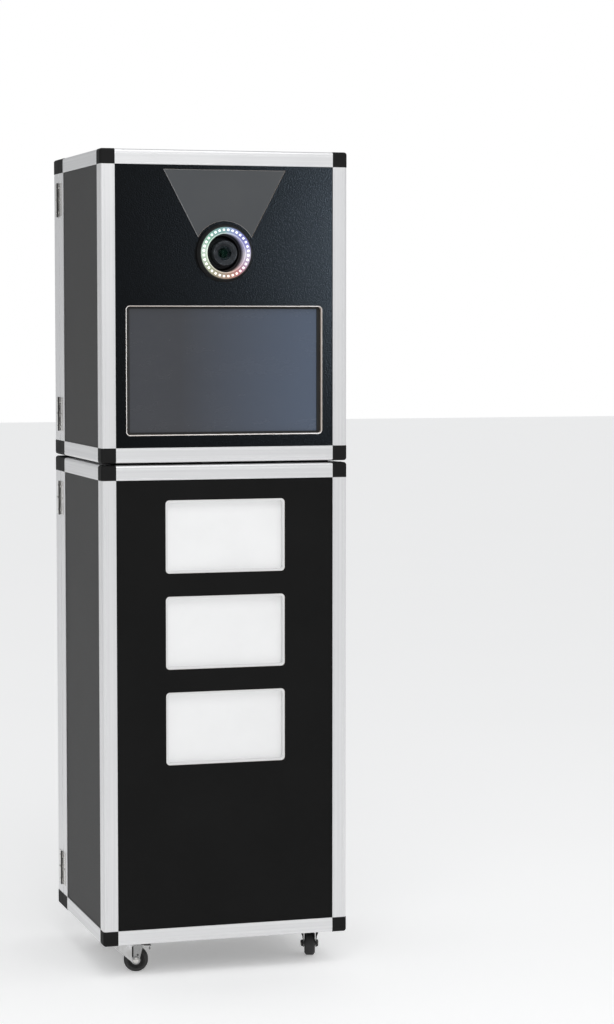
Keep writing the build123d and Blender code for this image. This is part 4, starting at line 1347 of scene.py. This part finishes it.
def makeOutletScrews():
    low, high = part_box("print_outlet")
    columns = (low.y + 8 * mm, high.y - 8 * mm)
    spots = [(high.x, y, z) for y in columns for z in (low.z + 7 * mm, high.z - 7 * mm)]
    makeScrews("print_outlet_screws", "lower_case", spots, (1.0, 0.0, 0.0), 0.8, "zinc_steel")
    low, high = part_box("power_inlet")
    middle = (low.y + high.y) / 2
    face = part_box("lower_side_panels")[1].x + 1.8 * mm
    spots = [(face, middle, low.z + 3.6 * mm), (face, middle, high.z - 3.6 * mm)]
    makeScrews("power_inlet_screws", "lower_case", spots, (1.0, 0.0, 0.0), 0.75, "zinc_steel")
    # brass blades of the inlet, over the moulded ones
    blades = bmesh.new()
    for y, z in ((-6.0, -17.0), (6.0, -17.0), (0.0, -12.0)):
        base = Vector((face, middle + y * mm, (low.z + high.z) / 2 + z * mm))
        bladeLow = base + Vector((-18.0, -1.2, -2.2)) * mm
        addBlock(blades, bladeLow, base + Vector((-4.6, 1.2, 2.2)) * mm, 0.3 * mm)
    finishPiece("power_inlet_blades", blades, "brass", "lower_case", slot="latch_metal")


makeOutletScrews()
print("screws and plates made")


# ---------- rubber grommets of the cable pass ----------
grommet = {"halfX": 35.0, "halfY": 23.0, "corner": 6.0, "wall": 2.5, "lip": 5.0, "lipTall": 2.0}


def grommetOutline(grow, corner):
    return rectangleOutline(grommet["halfX"] * mm + grow, grommet["halfY"] * mm + grow, corner)


def makeGrommet(case, deckNode, outerSide):
    low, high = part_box(deckNode)
    board = 9.0 * mm
    boardLow = high.z - board if outerSide > 0 else low.z
    cableY = 60.0 * mm
    corner, wall, lip, lipTall = (grommet[key] * mm for key in ("corner", "wall", "lip", "lipTall"))
    shape = bmesh.new()
    across, along = (1.0, 0.0, 0.0), (0.0, 1.0, 0.0)
    hole = grommetOutline(-wall, corner - wall)
    sleeve = grommetOutline(-0.1 * mm, corner)
    rim = grommetOutline(lip, corner + lip)
    addPrism(shape, sleeve, (0.0, cableY, boardLow), across, along, (0.0, 0.0, board), holes=[hole])
    lipFrom = (0.0, cableY, boardLow - lipTall if outerSide > 0 else boardLow + board)
    addPrism(shape, rim, lipFrom, across, along, (0.0, 0.0, lipTall), 0.6 * mm, holes=[hole])
    finishPiece(case + "_cable_grommet", shape, "mat_rubber", case + "_case")


makeGrommet("lower", "lower_top_panel", 1)
makeGrommet("upper", "upper_bottom_panel", -1)
print("grommets made")


# ---------- camera lens ----------
lens = {
    "threads": 3,
    "mouthRadius": 20.0,
    "glassRadius": 14.5,
    "coneDepth": 5.0,
    # stepped outside from the nose back: (radius, along, rounding)
    "outside": [
        (20.6, 0.5, 0.1),
        (21.2, 0.0, 0.3),
        (22.6, 0.0, 0.2),
        (22.9, 0.5, 0.1),
        (23.3, 0.5, 0.1),
        (23.6, 0.0, 0.2),
        (25.0, 0.0, 0.9),
        (25.0, 12.0, 0),
        (24.5, 12.3, 0),
        (24.5, 12.9, 0),
        (25.0, 13.2, 0),
        (25.0, 30.5, 0.2),
        (28.0, 30.9, 0.8),
        (28.0, 32.5, 0),
        (31.5, 32.9, 0.9),
        (31.5, 44.4, 0.6),
        (28.0, 44.4, 0),
        (28.0, 70.6, 0),
        (31.5, 70.6, 0.6),
        (31.5, 84.4, 0.5),
        (14.5, 84.4, 0),
    ],
}


def makeLens():
    low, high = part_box("lens_barrel")
    nose = Vector((lensCentre.x, low.y, lensCentre.z))
    back = Vector((0.0, 1.0, 0.0))
    barrel = bmesh.new()
    outline = [(lens["glassRadius"], lens["coneDepth"] + 5.0, 0)]
    count = lens["threads"]
    rise = (lens["mouthRadius"] - lens["glassRadius"]) / count
    drop = lens["coneDepth"] / count
    for index in range(count):
        radius = lens["glassRadius"] + rise * index
        along = lens["coneDepth"] - drop * index
        outline += [(radius, along, 0.08), (radius + rise * 0.55, along - drop * 0.15, 0.08)]
    outline.append((lens["mouthRadius"], 0.45, 0.1))
    outline += lens["outside"]
    points = [(p.x * mm, p.y * mm) for p in roundedOutline(outline, 20.0)]
    addTurned(barrel, points, nose, back, steps=96, closed=True)
    shell = {"slot": "knob_plastic", "replaces": ["lens_barrel"]}
    finishPiece("lens_barrel_shell", barrel, "lens_black", "camera", **shell)
    glass = bmesh.new()
    radius, dome = 14.4, 24.0
    section = [(0.0, 4.0)]
    for k in range(1, 9):
        r = radius * k / 8
        section.append((r, 4.0 + dome - math.sqrt(dome**2 - r**2)))
    section += [(radius, 9.6), (12.0, 9.8), (0.0, 8.2)]
    addTurned(glass, inMillimetres(section), nose, back, steps=64)
    finishPiece("lens_front_glass", glass, "lens_glass", "camera", replaces=["lens_glass"])
    # stepped light baffles and the two coated elements deeper in the barrel
    baffle = bmesh.new()
    steps = [(14.4, 10.0), (12.6, 10.0), (12.4, 12.6), (11.2, 12.8), (11.0, 15.4)]
    steps += [(9.8, 15.6), (9.6, 20.0), (7.0, 21.0), (7.0, 22.0), (14.4, 22.0)]
    addTurned(baffle, inMillimetres(steps), nose, back, steps=64, closed=True)
    finishPiece("lens_baffles", baffle, "lens_black", "camera", slot="knob_plastic")
    for name, radius, curve, along, finish in (
        ("lens_element_green", 10.9, 16.0, 13.4, "green_element"),
        ("lens_element_violet", 7.2, -18.0, 22.6, "violet_element"),
    ):
        shape = bmesh.new()
        profileRow = []
        for k in range(9):
            r = radius * k / 8
            sag = abs(curve) - math.sqrt(curve**2 - r**2)
            profileRow.append((r * mm, (along + sag * math.copysign(1.0, curve)) * mm))
        profileRow += [(radius * mm, (along + 4.0) * mm), (0.0, (along + 4.0) * mm)]
        addTurned(shape, profileRow, nose, back, steps=48)
        finishPiece(name, shape, finish, "camera", slot="lens_glass")


makeLens()
print("lens made")


# ---------- camera controls ----------
def makeCameraControls():
    low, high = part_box("camera_body")
    centre = lensCentre
    back = high.y
    top = centre.z + 40.0 * mm
    screen = bmesh.new()
    frameLow = Vector((-34.0 * mm, back - 1.0 * mm, centre.z - 30.0 * mm))
    addBlock(screen, frameLow, frameLow + Vector((70.0, 3.4, 50.0)) * mm, 1.2 * mm, 3)
    finishPiece("camera_screen_frame", screen, "knob_plastic", "camera")
    pane = bmesh.new()
    paneLow = frameLow + Vector((4.0, 3.0, 4.0)) * mm
    addBlock(pane, paneLow, frameLow + Vector((66.0, 3.9, 46.0)) * mm, 0.3 * mm)
    finishPiece("camera_screen", pane, "screen_glass", "camera")
    knobs = bmesh.new()
    eyepiece = rectangleOutline(17, 9, 4)
    window = rectangleOutline(11, 5, 2)
    spot = Vector((0.0, back - 3.0 * mm, centre.z + 48.0 * mm))
    across, up, out = Vector((mm, 0, 0)), Vector((0, 0, mm)), Vector((0, 1, 0))
    addPrism(knobs, eyepiece, spot, across, up, out * 8.0 * mm, 1.0 * mm, holes=[window])
    pad = [(0, 0), (9, 0), (9, 1.4), (8.4, 2.0), (5.4, 2.0), (5.0, 1.3), (4.6, 1.3), (4.2, 2.2), (0, 2.4)]
    addTurned(knobs, inMillimetres(pad), (50 * mm, back, centre.z - 6 * mm), out, 40)
    button = [(0, 0), (3.0, 0), (3.0, 1.2), (2.5, 1.7), (0, 1.8)]
    for x, z in ((44, 14), (56, 14), (44, -26), (56, -26), (50, 28)):
        addTurned(knobs, inMillimetres(button), (x * mm, back, centre.z + z * mm), out, 24)
    # knurled mode dial and shutter button on the top
    dialTall = 8.0
    dial = bmesh.new()
    rim = []
    for k in range(72):
        r = (9.6 if k % 2 else 9.0) * mm
        rim.append((r * math.cos(math.pi * k / 36), r * math.sin(math.pi * k / 36)))
    place = Vector((44 * mm, (low.y + high.y) / 2 + 8 * mm, top))
    addPrism(dial, rim, place, (1, 0, 0), (0, 1, 0), (0, 0, dialTall * mm), 0.4 * mm)
    finishPiece("camera_mode_dial", dial, "knob_plastic", "camera")
    shutter = [(0, 0), (6, 0), (6, 1.2), (5.4, 1.8), (4.6, 1.8), (4.6, 3.0), (4.0, 3.6), (0, 3.3)]
    gripTop = Vector((-53 * mm, low.y + 12 * mm, centre.z + 30 * mm))
    addTurned(knobs, inMillimetres(shutter), gripTop, (0, 0, 1), 32)
    finishPiece("camera_buttons", knobs, "knob_plastic", "camera")
    shoe = bmesh.new()
    shoeLow = Vector((-9.5 * mm, (low.y + high.y) / 2, high.z - 1.0 * mm))
    addBlock(shoe, shoeLow, shoeLow + Vector((19.0, 18.0, 1.8)) * mm, 0.2 * mm)
    for side in (0.0, 16.4):
        railLow = shoeLow + Vector((side, 0, 1.4)) * mm
        addBlock(shoe, railLow, shoeLow + Vector((side + 2.6, 18.0, 3.6)) * mm, 0.2 * mm)
    finishPiece("camera_hot_shoe", shoe, "latch_metal", "camera")


makeCameraControls()
print("camera controls made")


# ---------- devices behind the doors ----------
def addFins(shape, low, high, count, axis, gap=0.45):
    # row of raised slats between two corners, spaced along an axis number
    low, high = Vector(low), Vector(high)
    pitch = (high[axis] - low[axis]) / count
    for index in range(count):
        a, b = low.copy(), high.copy()
        a[axis] = low[axis] + pitch * index
        b[axis] = a[axis] + pitch * (1 - gap)
        addBlock(shape, a, b, min(0.35 * mm, pitch * 0.15))


def addSocket(shape, centre, wide, tall, out, deep=2.2 * mm, wall=0.9 * mm):
    # open shell of a connector standing on a rear face that looks along out
    up = Vector((0.0, 0.0, 1.0))
    across = up.cross(Vector(out))
    corner = min(wide, tall) * 0.2
    outer = [(-wide / 2, -tall / 2), (wide / 2, -tall / 2), (wide / 2, tall / 2), (-wide / 2, tall / 2)]
    inner = [(x * (1 - 2 * wall / wide), y * (1 - 2 * wall / tall)) for x, y in outer]
    frameOutline = roundedOutline([(x, y, corner) for x, y in outer], 30.0)
    holeOutline = roundedOutline([(x, y, corner * 0.6) for x, y in inner], 30.0)
    addPrism(shape, frameOutline, centre, across, up, Vector(out) * deep, holes=[holeOutline])


# each socket is (place across, width, height)
monitor = {
    "plate": 55.0,
    "screwSpread": 50.0,
    "slats": 22,
    "sockets": ((-52, 15, 5.5), (-30, 15, 5.5), (-6, 13, 6.0), (18, 9, 9)),
}


def makeMonitorBack():
    low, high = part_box("monitor_chassis")
    back = high.y
    middle = Vector((0.0, back, (low.z + high.z) / 2))
    across, up, out = Vector((1, 0, 0)), Vector((0, 0, 1)), Vector((0, 1, 0))
    half = monitor["plate"] * mm
    plate = bmesh.new()
    outline = rectangleOutline(half, half, 6 * mm)
    addPrism(plate, outline, middle, across, up, out * 2.4 * mm, 0.5 * mm)
    finishPiece("monitor_rear_plate", plate, "shelf_metal", "upper_case")
    spread = monitor["screwSpread"] * mm
    spots = fourSpots(middle + out * 2.4 * mm, across, up, spread, spread)
    makeScrews("monitor_screws", "upper_case", spots, out, 1.2)
    slats = bmesh.new()
    for side in (-1, 1):
        for row in (62.0, 84.0):
            x = side * 115.0 * mm
            base = Vector((x, back - 0.3 * mm, middle.z + row * mm))
            slatsHigh = base + Vector((46.0, 1.2, 16.0)) * mm
            addFins(slats, base - across * 46 * mm, slatsHigh, monitor["slats"], 0)
    finishPiece("monitor_vents", slats, "device_plastic", "upper_case")
    block = bmesh.new()
    blockLow = Vector((-70 * mm, back - 0.5 * mm, low.z + 18 * mm))
    addBlock(block, blockLow, blockLow + Vector((120.0, 6.0, 22.0)) * mm, 1.5 * mm, 3)
    finishPiece("monitor_connector_panel", block, "device_plastic", "upper_case")
    sockets = bmesh.new()
    for x, wide, tall in monitor["sockets"]:
        spot = Vector((x * mm, blockLow.y + 5.9 * mm, blockLow.z + 11 * mm))
        addSocket(sockets, spot, wide * mm, tall * mm, out)
    finishPiece("monitor_sockets", sockets, "latch_metal", "upper_case")


computer = {
    "sockets": ((-205, 13, 6), (-186, 13, 6), (-164, 15, 6), (-138, 15, 13), (-114, 15, 6), (-92, 9, 9)),
    "slats": 16,
}


def makeComputerBack():
    low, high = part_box("mini_computer")
    out = Vector((0, 1, 0))
    face = high.y
    sockets = bmesh.new()
    for x, wide, tall in computer["sockets"]:
        addSocket(sockets, Vector((x * mm, face - 0.4 * mm, low.z + 16 * mm)), wide * mm, tall * mm, out)
    finishPiece("computer_sockets", sockets, "latch_metal", "upper_case")
    slats = bmesh.new()
    start = Vector((-210 * mm, face - 0.4 * mm, low.z + 30 * mm))
    addFins(slats, start, start + Vector((130.0, 1.2, 8.0)) * mm, computer["slats"], 0)
    finishPiece("computer_vents", slats, "device_plastic", "upper_case")
    power = bmesh.new()
    ring = [(0, 0), (6, 0), (6, 0.9), (5.2, 1.3), (4.8, 0.5), (4.4, 0.5), (4.2, 1.4), (0, 1.7)]
    powerSpot = (-66 * mm, face - 0.2 * mm, low.z + 25 * mm)
    addTurned(power, inMillimetres(ring), powerSpot, out, 36)
    finishPiece("computer_power_button", power, "latch_metal", "upper_case")


printer = {"slats": 18, "buttons": (-40.0, -20.0, 0.0)}


def makePrinterDetails():
    low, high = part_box("photo_printer")
    back, top = high.y, high.z
    out = Vector((0, 1, 0))
    lid = bmesh.new()
    lidLow = (low.x + 8 * mm, low.y + 8 * mm, top - 1 * mm)
    addBlock(lid, lidLow, (high.x - 8 * mm, back - 8 * mm, top + 4.5 * mm), 3.0 * mm, 4)
    finishPiece("printer_lid", lid, "device_plastic", "lower_case")
    tray = bmesh.new()
    trayLow = Vector((low.x + 205 * mm, back - 1 * mm, low.z + 26 * mm))
    addBlock(tray, trayLow, trayLow + Vector((140.0, 4.5, 96.0)) * mm, 1.6 * mm, 3)
    finishPiece("printer_paper_door", tray, "device_plastic", "lower_case")
    grip = bmesh.new()
    gripLow = trayLow + Vector((48.0, 4.0, 78.0)) * mm
    addBlock(grip, gripLow, trayLow + Vector((92.0, 9.0, 84.0)) * mm, 1.8 * mm, 3)
    finishPiece("printer_paper_door_grip", grip, "knob_plastic", "lower_case")
    slats = bmesh.new()
    start = Vector((low.x + 24 * mm, back - 0.4 * mm, low.z + 40 * mm))
    addFins(slats, start, start + Vector((120.0, 1.4, 60.0)) * mm, printer["slats"], 2)
    finishPiece("printer_vents", slats, "device_plastic", "lower_case")
    keys = bmesh.new()
    button = [(0, 0), (5.0, 0), (5.0, 1.6), (4.4, 2.3), (0, 2.5)]
    for x in printer["buttons"]:
        spot = (x * mm, back - 0.2 * mm, top - 22 * mm)
        addTurned(keys, inMillimetres(button), spot, out, 28)
    finishPiece("printer_buttons", keys, "knob_plastic", "lower_case")
    window = bmesh.new()
    windowLow = Vector((30 * mm, back - 0.6 * mm, top - 32 * mm))
    addBlock(window, windowLow, windowLow + Vector((64.0, 1.6, 18.0)) * mm, 0.5 * mm)
    finishPiece("printer_display", window, "screen_glass", "lower_case")
    sockets = bmesh.new()
    for x, wide, tall, wall in ((40, 12, 11, 0.9), (78, 27, 19, 1.6)):
        spot = Vector((low.x + x * mm, back - 0.4 * mm, low.z + 22 * mm))
        addSocket(sockets, spot, wide * mm, tall * mm, out, wall=wall * mm)
    finishPiece("printer_sockets", sockets, "latch_metal", "lower_case")


flash = {"fins": 22, "finDeep": 7.0}


def makeFlashDetails():
    low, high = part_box("flash_lamp")
    fins = bmesh.new()
    middle = (low.z + high.z) / 2
    start = Vector((-78 * mm, high.y - 0.4 * mm, middle - 32 * mm))
    addFins(fins, start, start + Vector((156.0, flash["finDeep"], 64.0)) * mm, flash["fins"], 0, 0.62)
    finishPiece("flash_heat_sink", fins, "shelf_metal", "upper_case")
    sheet = bmesh.new()
    sheetHigh = (97 * mm, low.y + 3.5 * mm, high.z - 7 * mm)
    addBlock(sheet, (-97 * mm, low.y + 1 * mm, low.z + 7 * mm), sheetHigh, 0.4 * mm)
    finishPiece("flash_diffuser", sheet, "light_panel", "upper_case")
    leds = bmesh.new()
    for centreX in (-55.0, 0.0, 55.0):
        for column in range(4):
            for row in range(4):
                x, z = (centreX - 13.5 + 9 * column) * mm, middle + (row - 1.5) * 9 * mm
                spot = Vector((x, low.y + 19.6 * mm, z))
                ledHigh = spot + Vector((2.5, 0.5, 2.5)) * mm
                addBlock(leds, spot - Vector((2.5, 1.2, 2.5)) * mm, ledHigh, 0.3 * mm)
    finishPiece("flash_led_chips", leds, "light_panel", "upper_case")


makeMonitorBack()
makeComputerBack()
makePrinterDetails()
makeFlashDetails()
print("devices detailed")


# ---------- studio ----------
studio = {
    "floorSize": 60.0,
    "floorColour": grey(0.97),
    "worldSeen": (1.0, 1.0, 1.0, 1.0),
    "worldLight": (0.98, 0.99, 1.0, 1.0),
    "worldStrength": 0.60,
    "sideDimming": 0.62,
    "lamps": [
        # name, place, aimed at, width, height, watts, colour
        ("frontSoftbox", (-0.8, -3.6, 2.9), (0.0, -0.2, 1.2), 2.4, 1.6, 14.0, (1.0, 1.0, 1.0)),
        ("topSoftbox", (-0.1, -1.9, 3.2), (0.0, -0.1, 1.6), 2.0, 1.4, 20.0, (1.0, 1.0, 1.0)),
    ],
    # a cool strip close to the front that lights only the glossy upper front
    "strip": ("coolStrip", (0.66, -0.95, 1.52), (0.25, -0.22, 1.48), 0.22, 0.50, 26.0, (0.64, 0.81, 1.0)),
    "stripLights": ("upper_front_panel",),
}


def makeLamp(name, place, target, width, height, watts, colour):
    data = bpy.data.lights.new(name, "AREA")
    data.shape = "RECTANGLE"
    data.size, data.size_y = width, height
    data.energy = watts
    data.color = colour
    lamp = bpy.data.objects.new(name, data)
    lamp.location = place
    aim = Vector(target) - Vector(place)
    lamp.rotation_euler = aim.to_track_quat("-Z", "Y").to_euler()
    lamp.visible_camera = False
    scene.collection.objects.link(lamp)
    return lamp


def makeStudio(settings):
    world = bpy.data.worlds.new("studioWorld")
    scene.world = world
    world.use_nodes = True
    tree = world.node_tree
    tree.nodes.clear()
    seen = putNode(tree, "Background", {"Color": settings["worldSeen"], "Strength": 1.0})
    # the room is a little darker to the left of the booth
    sideways = putNode(tree, "SeparateXYZ", {0: putNode(tree, "TexCoord").outputs["Generated"]}).outputs["X"]
    strength = settings["worldStrength"]
    level = rangeOf(tree, sideways, -1.0, 0.0, strength * settings["sideDimming"], strength)
    lit = putNode(tree, "Background", {"Color": settings["worldLight"], "Strength": level})
    ray = putNode(tree, "LightPath").outputs["Is Camera Ray"]
    both = putNode(tree, "MixShader", {0: ray, 1: lit.outputs[0], 2: seen.outputs[0]})
    out = putNode(tree, "OutputWorld")
    tree.links.new(both.outputs[0], out.inputs["Surface"])
    for lamp in settings["lamps"]:
        makeLamp(*lamp)
    receivers = bpy.data.collections.new("glossyFront")
    for name in settings["stripLights"]:
        receivers.objects.link(nodes[name])
    makeLamp(*settings["strip"]).light_linking.receiver_collection = receivers
    shape = bmesh.new()
    bmesh.ops.create_grid(shape, x_segments=8, y_segments=8, size=settings["floorSize"] / 2)
    mesh = bpy.data.meshes.new("studioFloor")
    shape.to_mesh(mesh)
    shape.free()
    floor = bpy.data.objects.new("studioFloor", mesh)
    scene.collection.objects.link(floor)
    sockets = {"Specular IOR Level": 0.1, "Emission Color": (1.0, 1.0, 1.0, 1.0), "Emission Strength": 0.30}
    material, tree, shader = newMaterial("palePaper", sockets)
    patch = rangeOf(tree, noise(tree, objectVector(tree), 1.5, 4.0), 0.3, 0.7)
    colour = settings["floorColour"]
    tree.links.new(mixColour(tree, patch, colour, grey(colour[0] * 0.99)), shader["Base Color"])
    tree.links.new(rangeOf(tree, patch, 0.0, 1.0, 0.75, 0.85), shader["Roughness"])
    mesh.materials.append(material)


makeStudio(studio)
scene.view_settings.view_transform = "Standard"
print("studio ready")
